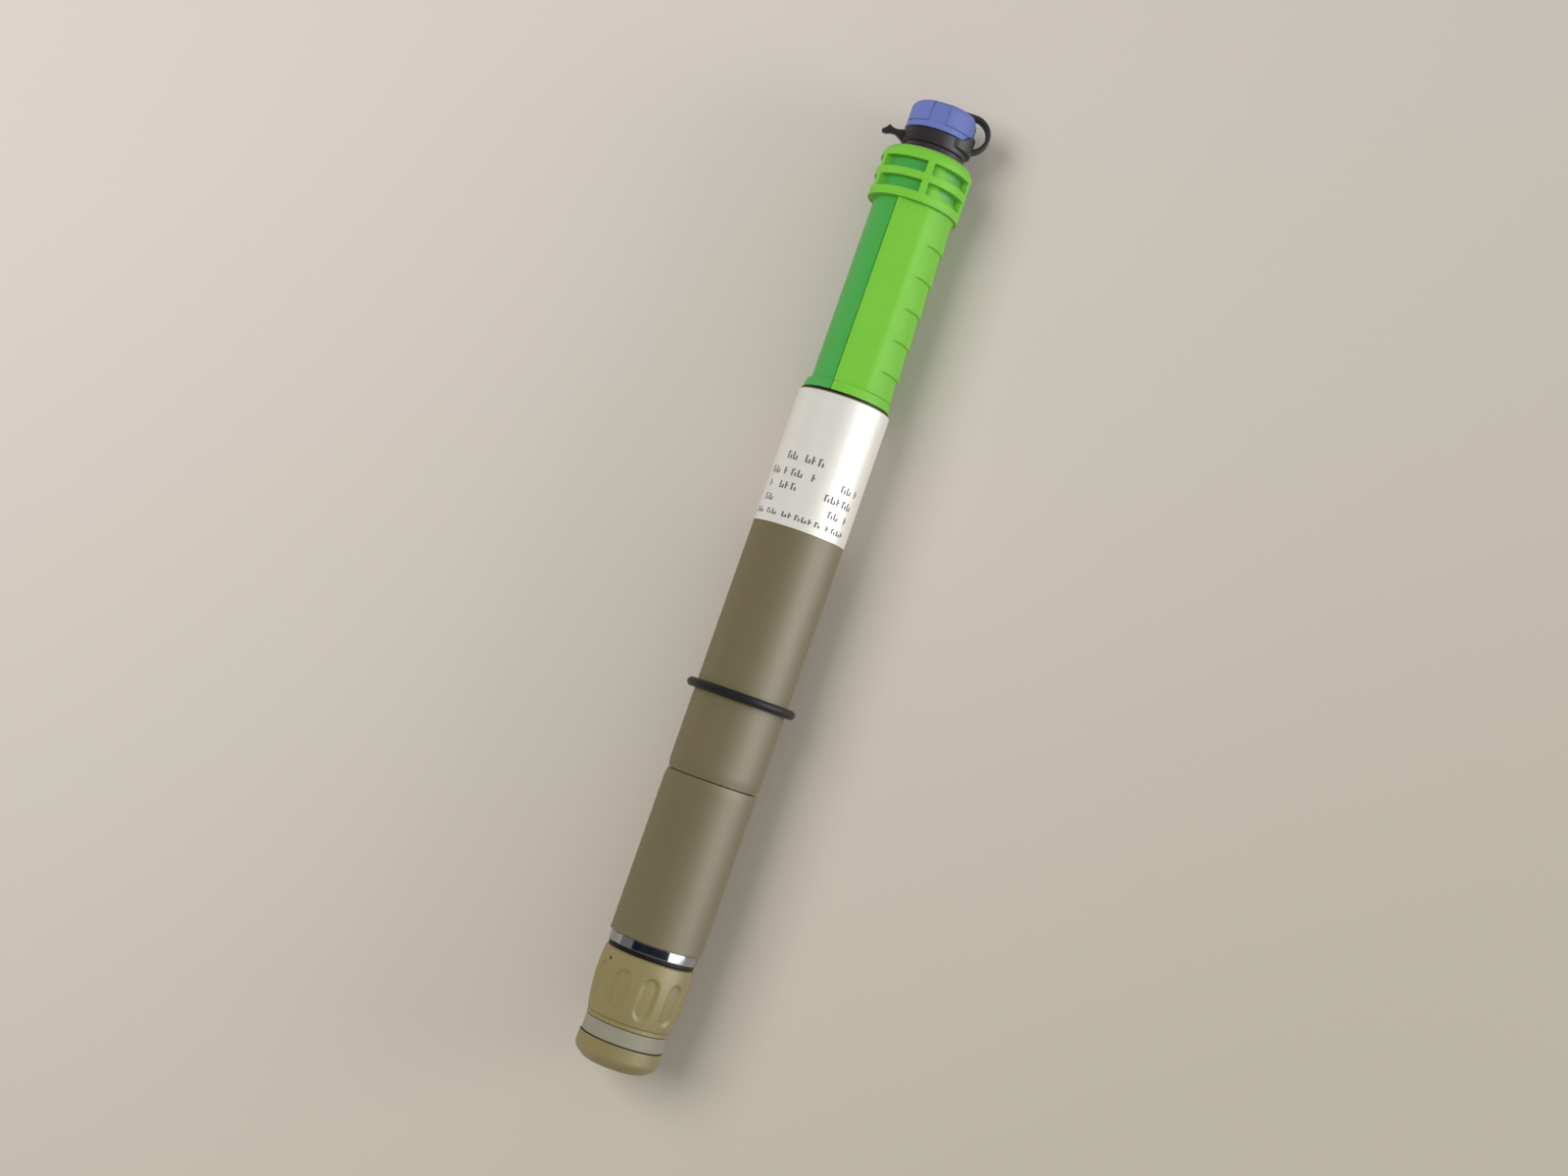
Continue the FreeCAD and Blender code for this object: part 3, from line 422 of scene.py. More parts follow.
# %% Finishes of the hidden pieces
# PEEK bar, machined: an opaque beige with a satin cut
shaft_peek = plastic("machined_peek", "#B7A681", "#C4B48F", 5.0, 0.3, 0.004, 0.35, 0.45)
# acetal, moulded: black and a little waxy
holder_pom = plastic("moulded_acetal_black", "#222223", "#2C2C2E", 4.0, 0.3, 0.005, 0.35, 0.45)
# microporous PTFE film: milky white
membrane_ptfe = plastic("microporous_ptfe", "#DCDDD8", "#E9EAE6", 1.0, 0.1, 0.004, 0.5, 0.65,
                        Subsurface_Weight=0.2, Subsurface_Scale=0.001)
# epoxy, cast: dark brown and glossy, with slow waves
resin_epoxy = plastic("cast_epoxy", "#241C14", "#33281C", 6.0, 1.5, 0.02, 0.12, 0.24, IOR=1.55)
# circuit board: glossy green over a faint weave
board_laminate = plastic("glass_epoxy_laminate", "#11532A", "#186236", 1.2, 0.4, 0.006, 0.28, 0.4)
# chip housings: matt black
chip_epoxy = plastic("moulded_chip_epoxy", "#1B1B1C", "#262627", 2.0, 0.15, 0.004, 0.5, 0.62)
# PBT, moulded: an even blue
header_pbt = plastic("moulded_pbt_blue", "#1C3E7A", "#254A8A", 3.0, 0.25, 0.005, 0.36, 0.48)
# PVC, extruded: red, smooth and soft-looking
wire_pvc = plastic("extruded_pvc_red", "#A92A1F", "#B83A2B", 3.0, 0.5, 0.003, 0.3, 0.4)
# ABS, moulded: ivory with a satin skin
support_abs = plastic("moulded_abs_ivory", "#CFC8B4", "#DAD4C2", 4.0, 0.3, 0.004, 0.36, 0.46)
# epoxy, dipped: dark and glassy, as a drop dries
bead_epoxy = plastic("dipped_epoxy_bead", "#1C1E22", "#2A2D33", 1.0, 0.4, 0.01, 0.15, 0.3)

hidden = {
    "membrane_disc": membrane_ptfe, "membrane_holder": holder_pom, "electrode_shaft": shaft_peek,
    "working_electrode": pin_gold, "reference_electrode": sleeve_silver, "temperature_sensor": bead_epoxy,
    "shaft_o_ring": seal_epdm, "potting_plug": resin_epoxy, "housing_o_ring": seal_epdm,
    "electrode_leads": wire_pvc, "circuit_board": board_laminate, "lead_headers": header_pbt,
    "board_chips": chip_epoxy, "board_capacitors": can_aluminium, "board_supports": support_abs,
    "connector_leads": wire_pvc, "connector_insert": neck_pa, "contact_pins": pin_gold,
    "connector_nut": nut_brass, "connector_seal": seal_epdm, "cap_gasket": seal_epdm,
}
for node, finish in hidden.items():
    slots = frame["nodes"][node].data.materials
    slots.clear()
    slots.append(finish)
print("hidden pieces:", len(hidden))

# %% [markdown]
# ## End piece and vent band
#
# The end piece clamps the membrane. It was turned with a wide bevel towards its tip, which leaves a
# small flat face round the sample opening. The silicone band above it covers the vent, and a thin
# gasket makes the dark line between them.

# %% End piece, gasket and band
BEVEL_LENGTH = 2.4
BEVEL_DEPTH = 3.2
BEVEL_ROUND = 1.1
FACE_ROUND = 0.9
OPENING_RADIUS = 4.5
OPENING_DEPTH = 1.5
OPENING_ROUND = 0.35
HOLDER_RADIUS = 8.95


def hoop(node, bore):
    """A plain ring that has the ends and the radius of a solid."""
    foot, top, outer = reach(node)
    return turned([(foot, bore), (foot, outer), (top, outer), (top, bore)])


foot, top, outer = reach("membrane_clamp")
face = outer - BEVEL_DEPTH
end_piece = turned([
    (foot, OPENING_RADIUS), (foot, face), (foot + BEVEL_LENGTH, outer), (top, outer),
    (top, HOLDER_RADIUS), (foot + OPENING_DEPTH, HOLDER_RADIUS), (foot + OPENING_DEPTH, OPENING_RADIUS)])
round_rim(end_piece, foot, face, FACE_ROUND)
round_rim(end_piece, foot + BEVEL_LENGTH, outer, BEVEL_ROUND)
round_rim(end_piece, top, outer, FINE_ROUND)
round_rim(end_piece, foot, OPENING_RADIUS, OPENING_ROUND)
piece(end_piece, "end_piece", "holder", "clamp_plastic", end_pvc, "membrane_clamp")

gasket = hoop("clamp_gasket", HOLDER_RADIUS)
piece(gasket, "seam_gasket", "holder", "seal_rubber", seal_epdm, "clamp_gasket")

band = hoop("vent_band", HOLDER_RADIUS)
soften(band, SOFT_ROUND, segments=4)
piece(band, "silicone_band", "holder", "band_silicone", band_silicone, "vent_band")

# %% [markdown]
# ## Patterns round the axis
#
# Some pieces carry a shape that repeats on its way round, such as hollows or windows. These functions
# tell how far a point is from the nearest repeat, move it in or out, and ease a step so that it has no
# crease. A point within a hundredth of a millimetre of a surface counts as on it.

# %% Helpers for patterns
SKIN = 0.01


def smooth(value):
    """Ease from 0 to 1."""
    value = min(max(value, 0.0), 1.0)
    return value * value * (3 - 2 * value)


def off_centre(point, azimuth, count):
    """The angle to a point from the nearest of some places spaced evenly from an azimuth on."""
    pitch = FULL_TURN / count
    return (azimuth_of(point) - azimuth + pitch / 2) % pitch - pitch / 2


def move_out(vertex, factor):
    """Move a vertex away from the axis by a factor, or in towards it."""
    vertex.co.y *= factor
    vertex.co.z *= factor


# %% [markdown]
# ## Union nut
#
# The nut swells to a belly and narrows again, which a parabola follows closely. Ten hollows with
# arched ends give the fingers a hold. They could be cut with a boolean, but a fine grid that sinks by
# a formula keeps even faces: inside its outline each hollow drops over a soft wall to a floor of even
# depth. A narrow collar stands below a groove at the foot.

# %% Union nut
FLUTES = 10
FLUTE_AZIMUTH = 13.0
FLUTE_FOOT = 3.1
FLUTE_TOP = 14.9
FLUTE_HALF_WIDTH = 2.55
FLUTE_ARCH = 2.8
FLUTE_DEPTH = 0.7
FLUTE_WALL = 0.6
BELLY_HEIGHT = 12.1
BELLY_CURVE = 0.0105
BELLY_FOOT = 1.55
GROOVE_STATION = 1.2
COLLAR_INSET = 0.15
# the collar's outline: station above the nut's foot, and radius against the collar's own
COLLAR_LINE = ((0.0, -0.3), (0.25, 0.0), (1.0, 0.0), (1.25, -0.2))
TOP_BEVEL = 0.35
TOP_INSET = 0.4
NUT_FLOOR = 1.9
NUT_BORE = 9.75
NUT_NECK = 8.95
NUT_ROWS = 56
NUT_STEPS = 360

foot, top, belly = reach("grip_nut")


def nut_radius(station):
    """The nut's outer radius without its hollows."""
    return belly - BELLY_CURVE * (station - foot - BELLY_HEIGHT) ** 2


collar = nut_radius(foot + GROOVE_STATION) - COLLAR_INSET
outline = [(foot + up, collar + out) for up, out in COLLAR_LINE]
rise = foot + BELLY_FOOT
for row in range(NUT_ROWS + 1):
    station = rise + (top - TOP_BEVEL - rise) * row / NUT_ROWS
    outline.append((station, nut_radius(station)))
outline += [(top, nut_radius(top) - TOP_INSET), (top, NUT_BORE), (foot + NUT_FLOOR, NUT_BORE),
            (foot + NUT_FLOOR, NUT_NECK), (foot, NUT_NECK)]
nut = turned(outline, NUT_STEPS)

middle = foot + (FLUTE_FOOT + FLUTE_TOP) / 2
straight = (FLUTE_TOP - FLUTE_FOOT) / 2 - FLUTE_ARCH
for vertex in nut.verts:
    around = radius_of(vertex.co)
    if around > nut_radius(vertex.co.x) - SKIN:
        off = math.radians(off_centre(vertex.co, FLUTE_AZIMUTH, FLUTES))
        across = around * off / FLUTE_HALF_WIDTH
        beyond = max(abs(vertex.co.x - middle) - straight, 0) / FLUTE_ARCH
        sink = FLUTE_DEPTH * smooth((1 - across ** 2 - beyond ** 2) / FLUTE_WALL)
        move_out(vertex, 1 - sink / around)
piece(nut, "union_nut", "nut", "nut_plastic", nut_pvc, "grip_nut")

# %% [markdown]
# A vent hole under a millimetre wide was drilled near the nut's top. A small dark disc with a rounded
# rim lies on the nut in its place. It is painted shade for the hole's dark inside, so the fine grid
# stays uncut.

# %% Vent hole
HOLE_RADIUS = 0.42
HOLE_DROP = 2.7
HOLE_AZIMUTH = -51.0
# the dark disc painted on as the hole's shade: its thickness, its rim's rounding, and how far it stands
# proud
SHADE_DISC_THICK = 0.06
SHADE_DISC_ROUND = 0.02
SHADE_DISC_PROUD = 0.005

hole_shade_disc = bmesh.new()
bmesh.ops.create_cone(hole_shade_disc, cap_ends=True, segments=24, radius1=HOLE_RADIUS, radius2=HOLE_RADIUS,
                      depth=SHADE_DISC_THICK)
soften(hole_shade_disc, SHADE_DISC_ROUND)
seat = nut_radius(top - HOLE_DROP) + SHADE_DISC_PROUD
bmesh.ops.translate(hole_shade_disc, verts=hole_shade_disc.verts, vec=(top - HOLE_DROP, 0, seat))
swing = Matrix.Rotation(math.radians(HOLE_AZIMUTH), 3, "X")
bmesh.ops.rotate(hole_shade_disc, verts=hole_shade_disc.verts, cent=(0, 0, 0), matrix=swing)
# the disc takes the dark seal rubber, which paints the shade inside the hole
piece(hole_shade_disc, "vent_hole_painted_shade", "nut", "nut_plastic", seal_epdm)

# %% [markdown]
# ## Rings above the nut
#
# A black seal and a polished steel ring, which is one of the electrodes, sit between nut and tube. A
# small bevel on each rim of the steel is what catches the bright glints.

# %% Seal and steel ring
SPIGOT_RADIUS = 9.7
STEEL_ROUND = 0.22

seal = hoop("cap_seal_ring", SPIGOT_RADIUS)
soften(seal, SOFT_ROUND, segments=4)
piece(seal, "black_seal", "housing", "seal_rubber", seal_epdm, "cap_seal_ring")

steel = hoop("counter_electrode", SPIGOT_RADIUS)
soften(steel, STEEL_ROUND, segments=3)
piece(steel, "steel_ring", "housing", "ring_steel", ring_steel, "counter_electrode")

# %% [markdown]
# ## Screw threads
#
# A thread is a tooth that travels along while it turns, and the spin operator does both at once: its
# dvec moves the outline on at each step. The tooth's foot is sunk a little into its core, so no gap
# shows. Two pieces have one: the spigot that the nut runs on, and the plug's barrel under the cap.

# %% Threads
THREAD_STEPS = 72
TOOTH_SINK = 0.1
# a tooth's corners, as shares of the pitch: the foot and the start of its crest
TOOTH_FOOT = 0.08
TOOTH_CREST = 0.42


def add_shape(bm, other):
    """Add a second shape to a shape."""
    mesh = bpy.data.meshes.new("added")
    other.to_mesh(mesh)
    other.free()
    bm.from_mesh(mesh)
    bpy.data.meshes.remove(mesh)


def add_thread(bm, foot, top, core, crest, pitch):
    """Add a screw thread's ridge round a core that is already in the shape."""
    base = core - TOOTH_SINK
    corners = ((TOOTH_FOOT, base), (TOOTH_CREST, crest), (1 - TOOTH_CREST, crest), (1 - TOOTH_FOOT, base))
    thread = bmesh.new()
    tooth = outline_in(thread, [(foot + share * pitch, radius) for share, radius in corners])
    turns = (top - foot) / pitch - 1
    steps = round(THREAD_STEPS * turns)
    spin(thread, tooth, FULL_TURN * turns, steps, dvec=(pitch * turns / steps, 0, 0))
    add_shape(bm, closed(thread))


# %% [markdown]
# ## Housing tubes
#
# Two tubes meet at a fine seam. Each end there has a long shallow bevel, which is why the tube seems
# to pinch slightly at the seam. The bevels are modelled and not painted, so they catch the light as
# the real ones do.

# %% Lower and upper tube
LOWER_BEVEL = 1.9
LOWER_DEPTH = 0.3
UPPER_BEVEL = 2.4
UPPER_DEPTH = 0.45
BEVEL_END = 0.8
SEAM_GAP = 0.13
SEAM_ROUND = 0.1
SHOULDER_EDGE = 0.25
SPIGOT_FOOT = 15.55
SPIGOT_CORE = 9.0
SPIGOT_PITCH = 2.0
SPIGOT_RUN_IN = 1.5
SPIGOT_RUN_OUT = 4.5
SHAFT_BORE = 6.05
SHAFT_HOLD = 6.4
JOIN_RADIUS = 10.4
JOIN_BORE = 8.5
JOIN_LENGTH = 12
JOIN_PLAY = 0.05

shoulder = reach("counter_electrode")[1]
seam, upper_top, tube = reach("upper_housing")
gasket_foot = reach("handle_gasket")[0]
lower = turned([
    (SPIGOT_FOOT, SHAFT_BORE), (SPIGOT_FOOT, SPIGOT_CORE), (shoulder, SPIGOT_CORE), (shoulder, tube),
    (seam - LOWER_BEVEL, tube), (seam - SEAM_GAP, tube - LOWER_DEPTH), (seam - SEAM_GAP, JOIN_RADIUS),
    (seam + JOIN_LENGTH, JOIN_RADIUS), (seam + JOIN_LENGTH, JOIN_BORE),
    (shoulder + SHAFT_HOLD, JOIN_BORE), (shoulder + SHAFT_HOLD, SHAFT_BORE)])
round_rim(lower, shoulder, tube, SHOULDER_EDGE)
round_rim(lower, seam - LOWER_BEVEL, tube, BEVEL_END)
round_rim(lower, seam - SEAM_GAP, tube - LOWER_DEPTH, SEAM_ROUND)
add_thread(lower, SPIGOT_FOOT + SPIGOT_RUN_IN, shoulder - SPIGOT_RUN_OUT, SPIGOT_CORE, SPIGOT_RADIUS,
           SPIGOT_PITCH)
piece(lower, "lower_tube", "housing", "housing_plastic", tube_pvc, "lower_housing")

HANDLE_SPIGOT = 8.9
HANDLE_SPIGOT_BORE = 7.6
HANDLE_SPIGOT_ROOT = 4
UPPER_BORE = 10.5
socket = JOIN_RADIUS + JOIN_PLAY
root = gasket_foot - HANDLE_SPIGOT_ROOT
upper = turned([
    (seam + SEAM_GAP, socket), (seam + SEAM_GAP, tube - UPPER_DEPTH), (seam + UPPER_BEVEL, tube),
    (gasket_foot, tube), (gasket_foot, HANDLE_SPIGOT), (upper_top, HANDLE_SPIGOT),
    (upper_top, HANDLE_SPIGOT_BORE), (root, HANDLE_SPIGOT_BORE), (root, UPPER_BORE),
    (seam + JOIN_LENGTH, UPPER_BORE), (seam + JOIN_LENGTH, socket)])
round_rim(upper, seam + UPPER_BEVEL, tube, BEVEL_END)
round_rim(upper, seam + SEAM_GAP, tube - UPPER_DEPTH, SEAM_ROUND)
round_rim(upper, gasket_foot, tube, FINE_ROUND)
piece(upper, "upper_tube", "housing", "housing_plastic", tube_pvc, "upper_housing")

# %% [markdown]
# ## Position ring
#
# The black ring that stands proud of the tube is a plain O-ring that marks how deep the cell goes in.
# A ready torus would nearly do, but a circle spun round the axis can also carry the faint parting
# line that a mould leaves on the outer edge: its outermost point is moved out a little first.

# %% Position ring
RING_SEGMENTS = 28
PARTING = 0.03

foot, top, outer = reach("position_ring")
section = (top - foot) / 2
ring = bmesh.new()
made = bmesh.ops.create_circle(ring, segments=RING_SEGMENTS, radius=section - PARTING)
outermost = max(made["verts"], key=lambda vertex: vertex.co.y)
outermost.co.y = section
bmesh.ops.rotate(ring, verts=ring.verts, cent=(0, 0, 0), matrix=Matrix.Rotation(math.pi / 2, 3, "X"))
bmesh.ops.translate(ring, verts=ring.verts, vec=((foot + top) / 2, 0, outer - section))
spin(ring, ring.verts[:] + ring.edges[:], FULL_TURN, STEPS, use_merge=True)
piece(closed(ring), "o_ring", "travel_ring", "ring_rubber", ring_nbr, "position_ring")

# %% [markdown]
# ## Label
#
# The label is a film wrapped round the tube with its two ends butted at the back, so its section is
# spun not quite a full turn.

# %% Label
LABEL_GAP = 1.5
LABEL_SEAM = HALF_TURN
LABEL_SINK = 0.02
LABEL_ROUND = 0.05

foot, top, outer = reach("label_sleeve")
inner = tube - LABEL_SINK
label = swept([(foot, inner), (foot, outer), (top, outer), (top, inner)], LABEL_SEAM + LABEL_GAP / 2,
              FULL_TURN - LABEL_GAP, STEPS)
soften(label, LABEL_ROUND)
piece(label, "foil_label", "housing", "label_foil", label_foil, "label_sleeve")

# %% [markdown]
# ## Small print
#
# So that the label isn't empty, rows of letter-like strokes stand on it as small print. A text object
# would have to be bent round the tube, and its letters would have to say something. Each stroke is a
# thin bar of ink that lies on the film, spun a little way round the axis, so it follows the curve.

# %% Small print
# rows of print: height above the label's foot, height of a letter, and the words as azimuth spans
PRINT_ROWS = (
    (18.4, 2.1, ((-48, -30), (-22, 3))),
    (14.0, 1.9, ((-68, -54), (-45, -40), (-34, -16), (-7, 2), (32, 50), (55, 61))),
    (10.3, 1.9, ((-64, -52), (-45, -20), (15, 58))),
    (6.5, 1.8, ((-64, -46), (26, 44), (52, 59))),
    (2.8, 1.4, ((-74, -58), (-51, -35), (-28, 22), (29, 63))),
)
INK = 0.02
BAR = 0.32
SHORT_STEM = 0.55
LETTER_SHAPES = 3
# degrees of a stroke, and of a letter with the gap after it
STROKE = 2.2
LETTER = 8.4
small_print = bmesh.new()


def stroke(low, high, start):
    """One bar of ink between two stations, from an azimuth on."""
    corners = [(low, outer), (low, outer + INK), (high, outer + INK), (high, outer)]
    spin(small_print, outline_in(small_print, corners, start), STROKE, 2)


for height, tall, words in PRINT_ROWS:
    low = foot + height - tall / 2
    for begin, end in words:
        letters = max(1, round((end - begin) / LETTER))
        for number in range(letters):
            left = begin + number * LETTER
            shape = (number + letters) % LETTER_SHAPES
            across = low + (tall - BAR) * shape / (LETTER_SHAPES - 1)
            stroke(low, low + tall, left)
            stroke(across, across + BAR, left + STROKE)
            if shape != 1:
                stroke(low, low + tall * SHORT_STEM, left + 2 * STROKE)
piece(closed(small_print), "small_print", "housing", "label_foil", print_ink)

# %% [markdown]
# ## Handle core and gasket
#
# The handle is moulded in two shots. The first is the dark green core, which shows as a strip along
# one side and as the floor of the head's windows. That side is the shaded one, so the core's dark green
# is partly painted shade. Beside the strip it is a little lower, which leaves a fine shadow gap along
# the grip. A black gasket closes the joint below it.

# %% Core and gasket
CORE_SOCKET = 8.95
GASKET_ROUND = 0.15
gasket = hoop("handle_gasket", CORE_SOCKET)
soften(gasket, GASKET_ROUND)
piece(gasket, "handle_seal", "housing", "seal_rubber", seal_epdm, "handle_gasket")

BASE_RING = 2.7
HEAD_LENGTH = 14.9
STRIP_EDGE = 24.0
STRIP_MARGIN = 2
# the azimuth of the side that the grip and the band of the strap are on
GRIP_SIDE = 90
GRIP_SWEEP = HALF_TURN + 2 * STRIP_EDGE
GAP_DEPTH = 0.8
GAP_END = 0.4
CORE_STEP = 0.6
CORE_SHOULDER = 1.5
CORE_NECK = 9.25
CORE_MOUTH = 7.45
MOUTH_DEPTH = 2.6
CORE_BORE = 8.6
SOCKET_DEPTH = 13
core_foot, core_top, core_radius = reach("handle_core")
grip_foot, grip_top, head_radius = reach("handle_grip")
lip = grip_top - HEAD_LENGTH
step = core_foot + BASE_RING
core = turned([
    (core_foot, CORE_SOCKET), (core_foot, core_radius - CORE_STEP),
    (step - CORE_STEP, core_radius - CORE_STEP), (step + CORE_STEP, core_radius),
    (lip - GAP_END, core_radius), (lip, core_radius),
    (grip_top - CORE_SHOULDER, core_radius), (grip_top - CORE_SHOULDER, CORE_NECK),
    (core_top, CORE_NECK), (core_top, CORE_MOUTH),
    (core_top - MOUTH_DEPTH, CORE_MOUTH), (core_top - MOUTH_DEPTH, CORE_BORE),
    (core_foot + SOCKET_DEPTH, CORE_BORE), (core_foot + SOCKET_DEPTH, CORE_SOCKET)])
for vertex in core.verts:
    around = radius_of(vertex.co)
    under_grip = abs(off_centre(vertex.co, GRIP_SIDE, 1)) < GRIP_SWEEP / 2 + STRIP_MARGIN
    if under_grip and around > core_radius - SKIN and vertex.co.x < lip - GAP_END / 2:
        move_out(vertex, 1 - GAP_DEPTH / around)
# the core's dark green, seen as the strip and the window floors on the shaded side, is partly painted
# shade
piece(core, "handle_core_dark_painted_shade", "housing", "core_plastic", core_pp_with_painted_shade, "handle_core")

# %% [markdown]
# ## Soft grip
#
# The second shot is the light green grip. Seen from its end it is a C round the core: flat on its
# front and back, and round on the side away from the strip, where five shallow scales overlap like
# shingles. The C is spun as a plain tube and each outer point then moves to the radius that the real
# surface has there: the flat where it lies inside the round, and otherwise the scales, which fade
# out towards the flats.

# %% Soft grip
FLAT = 10.9
FLAT_LIMIT = 60
ROUND_HIGH = 11.7
ROUND_LOW = 11.1
ROUND_PLAIN = 11.55
CREASE = 0.25
FADE_START = 22
FADE_SWEEP = 26
SCALE_LINES = 5
SCALE_FIRST = 6.5
SCALE_PITCH = 8.93
SCALE_ROWS = 6
STEP_LENGTH = 0.35
GRIP_INNER = 10.0
GRIP_STEPS = 152
GRIP_ROUND = 0.12

ring_top = grip_foot + BASE_RING
scale_edges = [ring_top + SCALE_FIRST + number * SCALE_PITCH for number in range(SCALE_LINES)]


def scale_height(station):
    """How far a scale has risen at a station, from 0 to 1. It is highest just above its lower edge."""
    return 1 - ((station - scale_edges[0] + SCALE_PITCH) / SCALE_PITCH) % 1.0


def skin_radius(station, azimuth):
    """The grip's outer radius at a station and azimuth."""
    off_flat = min(abs(azimuth), HALF_TURN - abs(azimuth))
    flat = FLAT / math.cos(math.radians(min(off_flat, FLAT_LIMIT)))
    fade = smooth((off_flat - FADE_START) / FADE_SWEEP)
    scale = ROUND_LOW + (ROUND_HIGH - ROUND_LOW) * scale_height(station)
    curve = ROUND_PLAIN + (scale - ROUND_PLAIN) * fade
    # the smaller of the two, with the crease between them rounded
    share = min(max(0.5 + (curve - flat) / (2 * CREASE), 0), 1)
    return curve + (flat - curve) * share - CREASE * share * (1 - share)


def rows_between(low, high):
    """Even stations above a low one, up to a high one."""
    return [low + (high - low) * number / SCALE_ROWS for number in range(1, SCALE_ROWS + 1)]


rows = [ring_top]
for edge in scale_edges:
    rows += rows_between(rows[-1], edge - STEP_LENGTH) + [edge + SKIN]
rows += rows_between(rows[-1], lip)

grip = swept([(station, ROUND_PLAIN) for station in rows] + [(lip, GRIP_INNER), (ring_top, GRIP_INNER)],
             -STRIP_EDGE, GRIP_SWEEP, GRIP_STEPS)
for vertex in grip.verts:
    around = radius_of(vertex.co)
    if around > (GRIP_INNER + ROUND_PLAIN) / 2:
        move_out(vertex, skin_radius(vertex.co.x, azimuth_of(vertex.co)) / around)
soften(grip, GRIP_ROUND, angle=40)
piece(grip, "soft_grip", "housing", "grip_plastic", grip_tpe, "handle_grip")

# %% [markdown]
# ## Base ring
#
# The grip grows out of a low cone below, which is light under the grip and dark under the strip. The
# strip lies on the handle's shaded side, so the dark there is partly painted shade. So one outline is
# spun twice, each time through a part of the turn and with its own finish.

# %% Base ring
CONE_FOOT = 12.05
CONE_TOP = 11.6
CONE_EDGE = 11.3
CONE_BEVEL = 0.3
BASE_ROUND = 0.35
DEGREES_PER_STEP = 2.5
outline = [(grip_foot, GRIP_INNER), (grip_foot, CONE_FOOT), (ring_top - CONE_BEVEL, CONE_TOP),
           (ring_top, CONE_EDGE), (ring_top, GRIP_INNER)]
# the dark sector lies on the shaded side of the handle: partly the core, partly painted shade
for name, start, sweep, slot, finish in (
        ("base_ring", -STRIP_EDGE, GRIP_SWEEP, "grip_plastic", grip_tpe),
        ("base_ring_dark_painted_shade", HALF_TURN + STRIP_EDGE, FULL_TURN - GRIP_SWEEP, "core_plastic", core_pp_with_painted_shade)):
    base = swept(outline, start, sweep, round(sweep / DEGREES_PER_STEP))
    soften(base, BASE_ROUND, angle=50)
    piece(base, name, "housing", slot, finish)

# %% [markdown]
# ## Sectors and shoulders
#
# The head and the cap change on their way round, so their outlines are spun on and on in sectors, which
# puts an edge wherever a sector ends. Both have a round shoulder, drawn as a quarter of a circle. What
# an operator gives back is one list of vertices, edges and faces, and one function picks out a kind.

# %% Helpers for the head and the cap
def in_sectors(outline, start, sectors):
    """Spin a closed outline on and on, through sectors given as a sweep and its steps."""
    bm = bmesh.new()
    drawn = outline_in(bm, outline, start)
    for sweep, steps in sectors:
        drawn = spin(bm, drawn, sweep, steps)["geom_last"]
    return closed(bm)


def quarter(top, radius, bend, steps=8):
    """Points of a quarter round that leads from a wall's radius to a flat top."""
    angles = [math.pi / 2 * step / steps for step in range(steps + 1)]
    return [(top - bend + bend * math.sin(a), radius - bend + bend * math.cos(a)) for a in angles]


def only(kind, geom):
    """The vertices or the faces among what an operator gives back."""
    return [item for item in geom if isinstance(item, kind)]


# %% [markdown]
# ## Head
#
# Above, the grip runs into a wide head. Two rows of windows go round it between five ribs. Its outline
# is spun sector by sector, rib and window in turn, and the windows' faces are pushed in to the core.
# Where the first shot shows, on the shaded left side, their floors are then left out, and the dark core
# closes them, so their darkness is partly painted shade. On the lit right side the floors are light too,
# and dip under the core.

# %% Head with its windows
RIBS = 5
RIB_AZIMUTH = 3.6
RIB_WIDTH = 1.9
RIB_STEPS = 4
WINDOW_STEPS = 20
LIP_TO_ROW = 2.4
WINDOW = 3.25
BETWEEN = 2.1
SHOULDER_ROUND = 3.1
NECK_OPENING = 9.3
CROWN_THICK = 1.4
WALL_DEPTH = 0.2
# floor radii: the dark core's on the shaded side, partly painted shade, and the light floor's on the lit
# side
FLOOR_SHADED_SIDE = 10.3
FLOOR_LIT_SIDE = 11.0
FLOOR_DIP = 0.9
DIP_SWEEP = 50
LIT_SIDE_END = 90
WINDOW_ROUND = 0.22

rib = math.degrees(RIB_WIDTH / head_radius)
row_two = lip + LIP_TO_ROW
row_one = row_two + WINDOW + BETWEEN
window_rows = ((row_two, row_two + WINDOW), (row_one, row_one + WINDOW))
outline = [(lip, GRIP_INNER), (lip, head_radius)]
outline += [(station, head_radius) for pair in window_rows for station in pair]
outline += quarter(grip_top, head_radius, SHOULDER_ROUND)
outline += [(grip_top, NECK_OPENING), (grip_top - CROWN_THICK, NECK_OPENING),
            (grip_top - CROWN_THICK, GRIP_INNER)]
sectors = ((rib, RIB_STEPS), (FULL_TURN / RIBS - rib, WINDOW_STEPS)) * RIBS
head = in_sectors(outline, RIB_AZIMUTH - rib / 2, sectors)


def in_window(face):
    """True for an outer face that lies in a window."""
    middle = face.calc_center_median()
    in_row = any(low < middle.x < high for low, high in window_rows)
    on_skin = radius_of(middle) > head_radius - WALL_DEPTH
    return in_row and on_skin and abs(off_centre(middle, RIB_AZIMUTH, RIBS)) > rib / 2


def on_lit_side(point):
    """True on the lit side, where a window's floor is light; the dark floors on the shaded side are
    partly painted shade.
    """
    return RIB_AZIMUTH < azimuth_of(point) < LIT_SIDE_END


